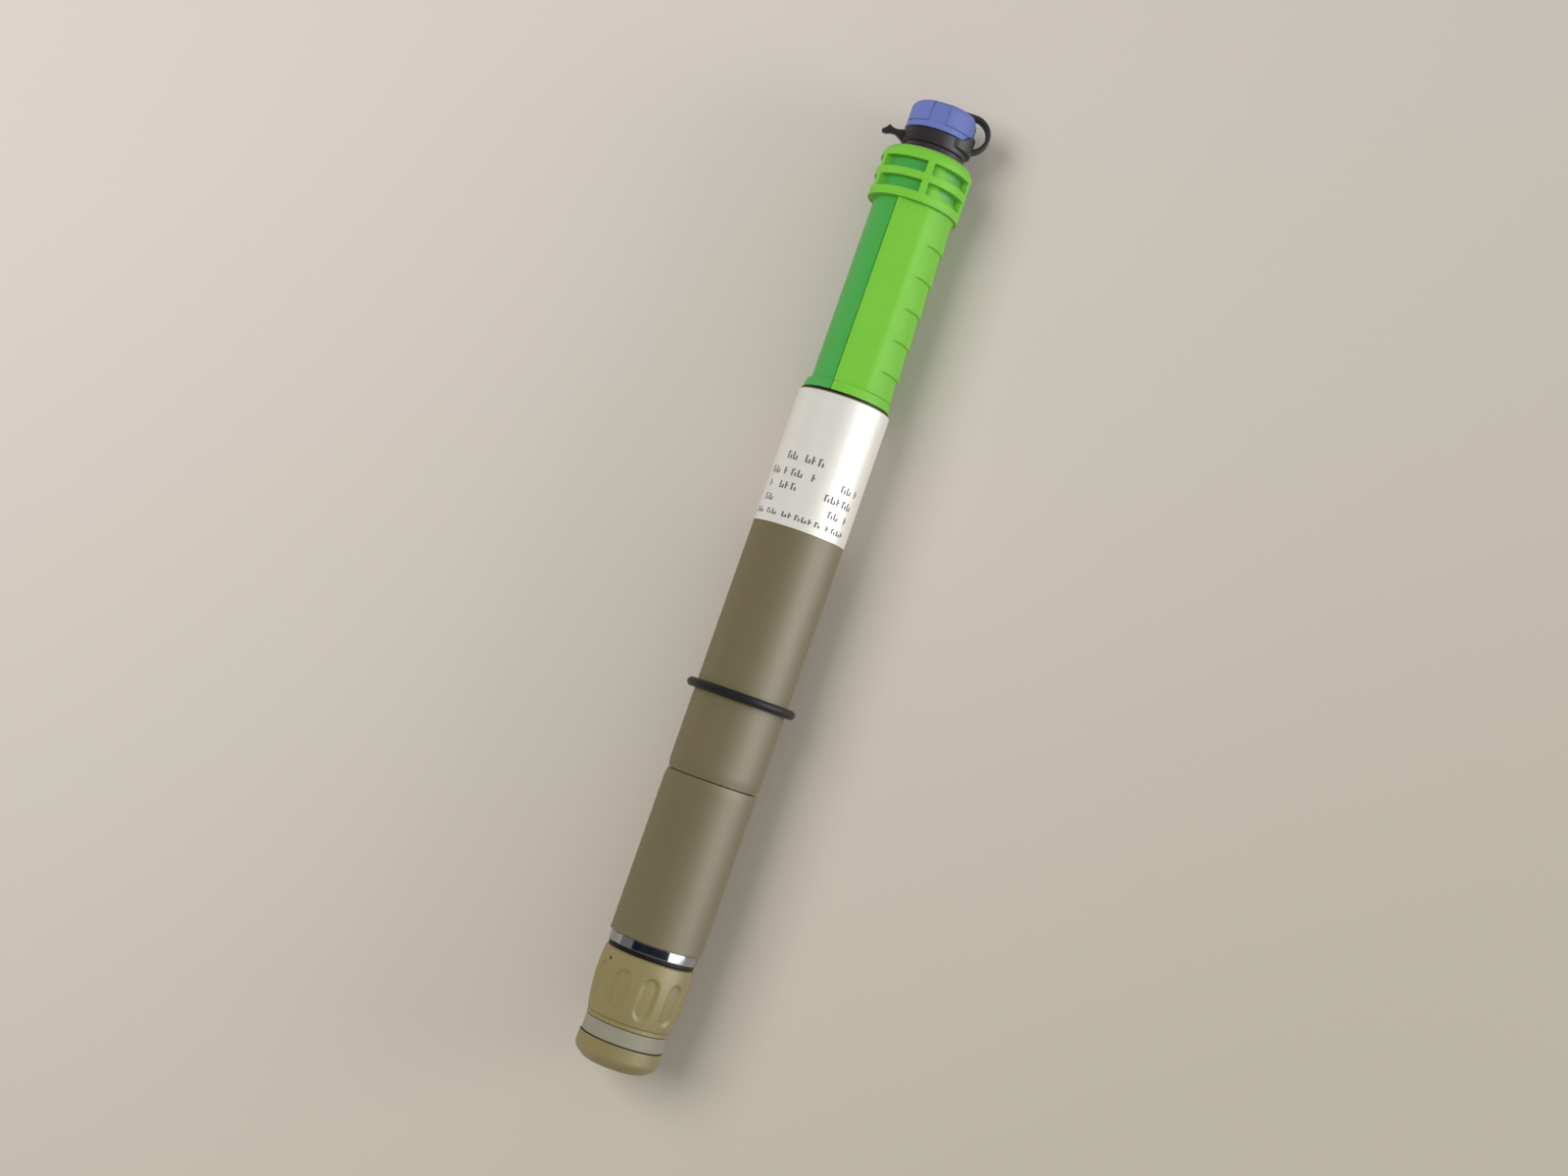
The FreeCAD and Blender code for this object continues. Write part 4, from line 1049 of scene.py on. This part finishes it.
pushed = bmesh.ops.extrude_face_region(head, geom=[face for face in head.faces if in_window(face)])
outside = [face for face in head.faces if in_window(face)]
floors = only(bmesh.types.BMFace, pushed["geom"])
for vertex in {vertex for face in floors for vertex in face.verts}:
    upper = any(math.isclose(vertex.co.x, high, abs_tol=SKIN) for _, high in window_rows)
    dip = FLOOR_DIP * smooth((azimuth_of(vertex.co) - RIB_AZIMUTH) / DIP_SWEEP) if upper else 0
    depth = FLOOR_LIT_SIDE - dip if on_lit_side(vertex.co) else FLOOR_SHADED_SIDE
    move_out(vertex, depth / head_radius)
covered = [face for face in outside if face.is_valid and face not in floors]
bmesh.ops.delete(head, geom=covered, context="FACES_ONLY")
# floors on the shaded side are taken out, so the dark core shows there as partly painted shade
dark = [face for face in floors if not on_lit_side(face.calc_center_median())]
bmesh.ops.delete(head, geom=dark, context="FACES_ONLY")
bmesh.ops.recalc_face_normals(head, faces=head.faces)
soften(head, WINDOW_ROUND, angle=50, segments=3)
piece(head, "lattice_head", "housing", "grip_plastic", grip_tpe, "handle_grip")

# %% [markdown]
# ## Plug neck
#
# Above the head stands the plug's black neck: a low cone, and a threaded barrel that the cap hides.
# Both are one turned outline, and the thread's ridge is added round it.

# %% Plug neck
BARREL = 7.95
BARREL_CORE = 7.45
BARREL_PITCH = 0.75
BARREL_PLAIN = 6.2
THREAD_START = 6.3
CORE_START = 6.5
THREAD_END = 0.2
PLUG_BORE = 6.4
PLUG_STEM = 7.4
FLANGE = 1.8
FLANGE_TAPER = 0.45
FLANGE_FOOT_ROUND = 0.15

foot, top, flange_radius = reach("connector_shell")
flange_top = grip_top + FLANGE
flange_rim = flange_radius - FLANGE_TAPER
neck = turned([
    (foot, PLUG_BORE), (foot, PLUG_STEM), (grip_top, PLUG_STEM), (grip_top, flange_radius),
    (flange_top, flange_rim), (flange_top, BARREL), (grip_top + BARREL_PLAIN, BARREL),
    (grip_top + CORE_START, BARREL_CORE), (top, BARREL_CORE), (top, PLUG_BORE)])
round_rim(neck, flange_top, flange_rim, SOFT_ROUND)
round_rim(neck, grip_top, flange_radius, FLANGE_FOOT_ROUND)
add_thread(neck, grip_top + THREAD_START, top - THREAD_END, BARREL_CORE, BARREL, BARREL_PITCH)
piece(neck, "plug_neck", "housing", "connector_plastic", neck_pa, "connector_shell")

# %% [markdown]
# ## Strap
#
# One rubber moulding keeps the cap on the cell: a collar round the neck with a tail to pull it by, and
# a flat band that loops over to the cap's crown, where a rivet holds its eye. Where the band starts,
# the collar swells and stands up in front of the cap's foot. The swelling is a strip of the collar's
# own outline, drawn out by a soft step towards its middle, so that it has no seam.

# %% Collar and its swelling
COLLAR_RADIUS = 9.0
COLLAR_HEIGHT = 3.9
COLLAR_PLAY = 0.05
COLLAR_TAPER = 0.25
TAPER_HEIGHT = 1.2

strap_foot, eye_top, _ = reach("tether_strap")
collar_top = strap_foot + COLLAR_HEIGHT
bore = BARREL + COLLAR_PLAY
collar = turned([(strap_foot, bore), (strap_foot, COLLAR_RADIUS - COLLAR_TAPER),
                 (strap_foot + TAPER_HEIGHT, COLLAR_RADIUS), (collar_top, COLLAR_RADIUS),
                 (collar_top, bore)])
soften(collar, SOFT_ROUND, angle=20, segments=4)
piece(collar, "strap_collar", "tether", "strap_rubber", strap_epdm, "tether_strap")

LUG_SWEEP = 130
LUG_STEPS = 44
LUG_RISE = 2.5
LUG_RISE_START = 0.35
# ramps from an end of the lug to its middle, and how much sooner its root swells than its front
LUG_RAMPS = 1.5
ROOT_PACE = 2.5
LUG_FOOT = 0.9
LUG_SHOULDER = 1.7
LUG_INNER = COLLAR_RADIUS + 0.3
LUG_MIDDLE = LUG_INNER + 0.05
LUG_LOW = LUG_INNER + 0.1
LUG_HIGH = LUG_INNER + 0.15
LUG_ROOT = 0.4
LUG_SWELL = 0.06
LUG_ROUND = 0.25
sunk = COLLAR_RADIUS - LUG_ROOT
outline = [(strap_foot + LUG_FOOT, sunk), (strap_foot + LUG_SHOULDER, LUG_LOW), (collar_top, LUG_HIGH),
           (collar_top, LUG_INNER), (collar_top - LUG_ROOT, sunk)]
lug = swept(outline, GRIP_SIDE - LUG_SWEEP / 2, LUG_SWEEP, LUG_STEPS)
for vertex in lug.verts:
    # how far in from the lug's two ends, in ramps: 0 at an end, and the most at its middle
    inwards = LUG_RAMPS * (1 - 2 * abs(off_centre(vertex.co, GRIP_SIDE, 1)) / LUG_SWEEP)
    around = radius_of(vertex.co)
    if around > COLLAR_RADIUS:
        grown = 1 - LUG_SWELL + LUG_SWELL * smooth(ROOT_PACE * inwards)
        if around > LUG_MIDDLE:
            grown += LUG_SWELL * smooth(inwards)
        move_out(vertex, grown)
    if vertex.co.x > collar_top - SKIN:
        vertex.co.x += LUG_RISE * smooth((inwards - LUG_RISE_START) / (1 - LUG_RISE_START))
soften(lug, LUG_ROUND, angle=35, segments=4)
piece(lug, "strap_lug", "tether", "strap_rubber", strap_epdm)

# %% [markdown]
# The tail is a flat hook. Its outline is drawn in the plane through the cell's axis and pushed out to
# its thickness.

# %% Tail
TAIL_THICK = 2.2
# station above the collar's foot, and distance from the axis
TAIL = ((-0.1, 8.4), (0.85, 9.8), (1.5, 11.1), (1.45, 12.4), (0.95, 13.6), (1.05, 14.6), (1.4, 14.95),
        (1.9, 14.6), (2.5, 13.9), (3.25, 13.45), (3.45, 13.0), (3.1, 12.5), (2.85, 11.6), (2.95, 10.4),
        (3.7, 8.3))
tail = bmesh.new()
corners = [tail.verts.new((strap_foot + station, away, -TAIL_THICK / 2)) for station, away in TAIL]
pushed = bmesh.ops.extrude_face_region(tail, geom=[tail.faces.new(corners)])
lifted = only(bmesh.types.BMVert, pushed["geom"])
bmesh.ops.translate(tail, verts=lifted, vec=(0, 0, TAIL_THICK))
bmesh.ops.recalc_face_normals(tail, faces=tail.faces)
soften(tail, SOFT_ROUND, angle=60, segments=4)
piece(tail, "strap_tail", "tether", "strap_rubber", strap_epdm)

# %% [markdown]
# The band starts as its own section, a small rectangle with rounded corners. It is pushed straight
# out from the collar, spun half a turn for the loop, and pushed back in to the eye. When the cap is
# screwed up, the collar stays and the eye goes with the rivet; this band keeps one fixed shape.

# %% Band and eye
BAND_THICK = 1.2
BAND_WIDE = 3.4
BAND_ROUND = 0.35
BAND_HEIGHT = 3.2
BAND_ROOT = 1
LOOP_REACH = 8.1
LOOP_STEPS = 28
EYE_RADIUS = 4.2
EYE_HOLE = 1.55
EYE_THICK = 0.6
EYE_LAP = 0.8
EYE_STEPS = 72

band_top = eye_top - BAND_THICK / 2
band_low = strap_foot + BAND_HEIGHT
band = bmesh.new()
bmesh.ops.create_grid(band, x_segments=1, y_segments=1, size=0.5)
bmesh.ops.scale(band, verts=band.verts, vec=(BAND_THICK, BAND_WIDE, 1))
bmesh.ops.bevel(band, geom=band.verts[:], offset=BAND_ROUND, offset_type="OFFSET", affect="VERTICES",
                segments=4, profile=0.5, material=-1)
bmesh.ops.rotate(band, verts=band.verts, cent=(0, 0, 0), matrix=Matrix.Rotation(math.pi / 2, 3, "X"))
bmesh.ops.translate(band, verts=band.verts, vec=(band_low, BAND_ROOT - COLLAR_RADIUS, 0))


def pushed_on(section, distance):
    """Push a section of the band on, away from the cell's axis or towards it."""
    run = bmesh.ops.extrude_face_region(band, geom=section)
    moved = only(bmesh.types.BMVert, run["geom"])
    bmesh.ops.translate(band, verts=moved, vec=(0, distance, 0))
    return run["geom"]


end = pushed_on(band.faces[:], COLLAR_RADIUS - BAND_ROOT - LOOP_REACH)
bend = bmesh.ops.spin(band, geom=end, cent=((band_low + band_top) / 2, -LOOP_REACH, 0),
                      axis=(0, 0, 1), angle=math.pi, steps=LOOP_STEPS)
pushed_on(only(bmesh.types.BMFace, bend["geom_last"]), LOOP_REACH - EYE_HOLE - EYE_LAP)

eye_foot = eye_top - BAND_THICK
eye = turned([(eye_foot, EYE_HOLE), (eye_foot, EYE_RADIUS), (eye_foot + EYE_THICK, EYE_RADIUS),
              (eye_foot + EYE_THICK, EYE_HOLE)], EYE_STEPS)
soften(eye, FINE_ROUND, segments=4)
add_shape(band, eye)
bmesh.ops.recalc_face_normals(band, faces=band.faces)
strap = piece(band, "strap_band", None, "strap_rubber", strap_epdm)
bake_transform(strap)

# %% [markdown]
# ## Dust cap
#
# The blue cap has a plain band at its foot and four raised pads above it, with a shallow groove
# between each two. As on the head, the outline is spun sector by sector. The faces of the pads are
# then pushed out by a third of a millimetre, nearly flush with the band below them.

# %% Dust cap
PADS = 4
PAD_STEPS = 22
PAD_FOOT = 1.5
PAD_ROUND = 0.12
PAD_SHARE = 0.75
GROOVE_SWEEP = 32.4
GROOVE_STEPS = 12
GROOVE_AZIMUTH = -9.6
GROOVE_DEPTH = 0.35
FOOT_TAPER = 0.08
FOOT_BEVEL = 0.25
CROWN = 1.6
CROWN_ROUND = 2.2
CAP_BORE = 8.0

cap_foot, cap_top, cap_radius = reach("dust_cap")
wall = cap_radius - GROOVE_DEPTH
pad_foot = cap_foot + PAD_FOOT
outline = [(cap_foot, CAP_BORE), (cap_foot, cap_radius), (pad_foot, cap_radius - FOOT_TAPER),
           (pad_foot + FOOT_BEVEL, wall)]
outline += quarter(cap_top, wall, CROWN_ROUND)
outline += [(cap_top, EYE_HOLE), (cap_top - CROWN, EYE_HOLE), (cap_top - CROWN, CAP_BORE)]
sectors = ((GROOVE_SWEEP, GROOVE_STEPS), (FULL_TURN / PADS - GROOVE_SWEEP, PAD_STEPS)) * PADS
cap = in_sectors(outline, GROOVE_AZIMUTH - GROOVE_SWEEP / 2, sectors)


def on_pad(face):
    """True for a face on the outside of a pad, up to the last part of the crown's round."""
    middle = face.calc_center_median()
    on_wall = radius_of(middle) > wall - CROWN_ROUND * PAD_SHARE and middle.x > pad_foot + FOOT_BEVEL
    outwards = face.normal.yz.dot(middle.yz) > 0
    return on_wall and outwards and abs(off_centre(middle, GROOVE_AZIMUTH, PADS)) > GROOVE_SWEEP / 2


pushed = bmesh.ops.extrude_face_region(cap, geom=[face for face in cap.faces if on_pad(face)])
raised = only(bmesh.types.BMVert, pushed["geom"])
bmesh.ops.scale(cap, verts=raised, vec=(1, cap_radius / wall, cap_radius / wall))
bmesh.ops.recalc_face_normals(cap, faces=cap.faces)
soften(cap, PAD_ROUND, angle=28, segments=3)
piece(cap, "blue_cap", "cap", "cap_plastic", cap_pe, "dust_cap")

# %% [markdown]
# ## Rivet
#
# A mushroom-headed rivet holds the strap's eye on the crown and lets the cap turn under it. Its
# outline starts and ends on the axis, so the spin closes both ends by itself.

# %% Rivet
SHANK = 1.5
HEAD = 0.55
HEAD_ROUND = 0.4
RIVET_STEPS = 64
foot, top, outer = reach("tether_stud")
rivet = turned([(foot, 0), (foot, outer), (foot + HEAD, outer), (foot + HEAD, SHANK), (top - HEAD, SHANK),
                (top - HEAD, outer), (top, outer), (top, 0)], RIVET_STEPS)
round_rim(rivet, top, outer, HEAD_ROUND)
round_rim(rivet, foot, outer, FINE_ROUND)
piece(rivet, "strap_rivet", "stud", "stud_plastic", neck_pa, "tether_stud")

# %% [markdown]
# ## Camera
#
# The camera was worked out from how the rings curve and how the tube narrows in the picture: it looks
# down from 563 mm above the cell, a little below its middle, through a lens of 49 mm on a 36 mm
# sensor. The cell leans 19.3 degrees to the right of upright in the frame.

# %% Camera
LENS = 49.0
SENSOR = 36.0
EYE_STATION = 95.8
EYE_HEIGHT = 563.0
AIM_STATION = 132.2
AIM_SIDE = -1.05
LEAN = math.radians(19.28)

eye_point = CELL @ Vector((EYE_STATION, AIM_SIDE, EYE_HEIGHT))
aim = CELL @ Vector((AIM_STATION, AIM_SIDE, 0))
forward = (aim - eye_point).normalized()
rightward = forward.cross(TURN @ Vector((math.cos(LEAN), math.sin(LEAN), 0))).normalized()
upward = rightward.cross(forward)
camera_data = bpy.data.cameras.new("camera")
camera_data.lens = LENS
camera_data.sensor_width = SENSOR
camera_data.clip_start = 0.01
camera = bpy.data.objects.new("camera", camera_data)
facing = Matrix((rightward, upward, -forward)).transposed()
camera.matrix_world = Matrix.Translation(eye_point) @ facing.to_4x4()
bpy.context.scene.collection.objects.link(camera)
bpy.context.scene.camera = camera
print("camera at", tuple(round(value, 4) for value in eye_point))

# %% [markdown]
# ## Floor
#
# The backdrop is a plain warm grey that is pinker at the top left and more olive at the bottom right,
# so its colour is a slow blend across the floor.

# %% Floor
FLOOR_SIZE = 4.0
BLEND_HALF = 0.17
BLEND_SLANT = 0.35
floor_mesh = bmesh.new()
bmesh.ops.create_grid(floor_mesh, x_segments=1, y_segments=1, size=FLOOR_SIZE / 2)
floor_data = bpy.data.meshes.new("floor")
floor_mesh.to_mesh(floor_data)
floor_mesh.free()
floor = bpy.data.objects.new("floor", floor_data)
bpy.context.scene.collection.objects.link(floor)

floor_finish = bpy.data.materials.new("painted_board")
floor_finish.use_nodes = True
tree = floor_finish.node_tree
paint = tree.nodes["Principled BSDF"]
here = add_node(tree, "ShaderNodeTexCoord")
slope = rightward * BLEND_SLANT - upward
across = add_node(tree, "ShaderNodeVectorMath", {0: here.outputs["Object"], 1: slope},
                  operation="DOT_PRODUCT")
share = add_node(tree, "ShaderNodeMapRange", {
    "Value": across.outputs["Value"], "From Min": -BLEND_HALF, "From Max": BLEND_HALF})
tone = add_node(tree, "ShaderNodeMix", {
    0: share.outputs["Result"], FIRST_COLOR: linear("#CAC2BA"), SECOND_COLOR: linear("#BEB7A7")},
    data_type="RGBA")
tree.links.new(tone.outputs[MIXED_COLOR], paint.inputs["Base Color"])
paint.inputs["Roughness"].default_value = 0.9
paint.inputs["Specular IOR Level"].default_value = 0.1
floor_data.materials.append(floor_finish)

# %% [markdown]
# ## Lamps
#
# One soft lamp from the upper left throws the shadow to the lower right, and a weaker one low on the
# right lightens that side. A third, broad lamp shows only in reflections: it is the long soft sheen
# down the right of the tube. The first two show in no reflection, so they leave no bright squares.

# %% Lamps
def lamp(name, place, size, power, lights, mirrors):
    """A square lamp that faces the middle of the cell, from a place given as right, up and near."""
    data = bpy.data.lights.new(name, "AREA")
    data.size = size
    data.energy = power
    thing = bpy.data.objects.new(name, data)
    spot = rightward * place[0] + upward * place[1] - forward * place[2]
    thing.location = spot
    thing.rotation_euler = spot.to_track_quat("Z", "Y").to_euler()
    bpy.context.scene.collection.objects.link(thing)
    thing.visible_diffuse = lights
    thing.visible_glossy = mirrors


lamp("key", (-0.48, 0.31, 0.82), 0.55, 7.2, True, False)
lamp("side", (0.93, -0.1, 0.2), 0.45, 4.4, True, False)
lamp("sheen", (0.93, -0.05, 0.37), 1.0, 11.0, False, True)

# %% [markdown]
# ## World
#
# The world fills in the rest: a ramp from left to right, brighter on the right. The steel ring also
# needs something dark to mirror, as a real room has, so the world has a narrow dark blue card in it.

# %% World
WORLD_STRENGTH = 1.05
# brightness of the room from its left to its right
ROOM = ((0.0, 0.26), (0.2, 0.2), (0.64, 0.2), (0.8, 0.8), (0.9, 0.8), (1.0, 0.6))
CARD_PLACE = -0.12
CARD_REACH = 0.09
CARD_SPREAD = 0.8

world = bpy.data.worlds.new("studio")
bpy.context.scene.world = world
world.use_nodes = True
tree = world.node_tree
here = add_node(tree, "ShaderNodeTexCoord").outputs["Generated"]
to_right = add_node(tree, "ShaderNodeVectorMath", {0: here, 1: -side}, operation="DOT_PRODUCT")
share = add_node(tree, "ShaderNodeMapRange", {"Value": to_right.outputs["Value"], "From Min": -1.0})
room = add_node(tree, "ShaderNodeValToRGB", {"Fac": share.outputs["Result"]})
ramp = room.color_ramp
ramp.interpolation = "EASE"
for place, level in ROOM:
    stop = ramp.elements.new(place) if 0 < place < 1 else ramp.elements[round(place)]
    stop.position = place
    stop.color = (level, level, level, 1)

to_cap = add_node(tree, "ShaderNodeVectorMath", {0: here, 1: along}, operation="DOT_PRODUCT")
in_length = add_node(tree, "ShaderNodeMath", {0: to_cap.outputs["Value"], 1: CARD_PLACE, 2: CARD_REACH},
                     operation="COMPARE")
in_width = add_node(tree, "ShaderNodeMath", {0: to_right.outputs["Value"], 1: 0.0, 2: CARD_SPREAD},
                    operation="COMPARE")
card = add_node(tree, "ShaderNodeMath", {0: in_length.outputs[0], 1: in_width.outputs[0]},
                operation="MULTIPLY")
sky = add_node(tree, "ShaderNodeMix", {
    0: card.outputs[0], FIRST_COLOR: room.outputs["Color"], SECOND_COLOR: linear("#141E2C")},
    data_type="RGBA")
background = tree.nodes["Background"]
tree.links.new(sky.outputs[MIXED_COLOR], background.inputs["Color"])
background.inputs["Strength"].default_value = WORLD_STRENGTH
bpy.context.scene.view_settings.view_transform = "Standard"
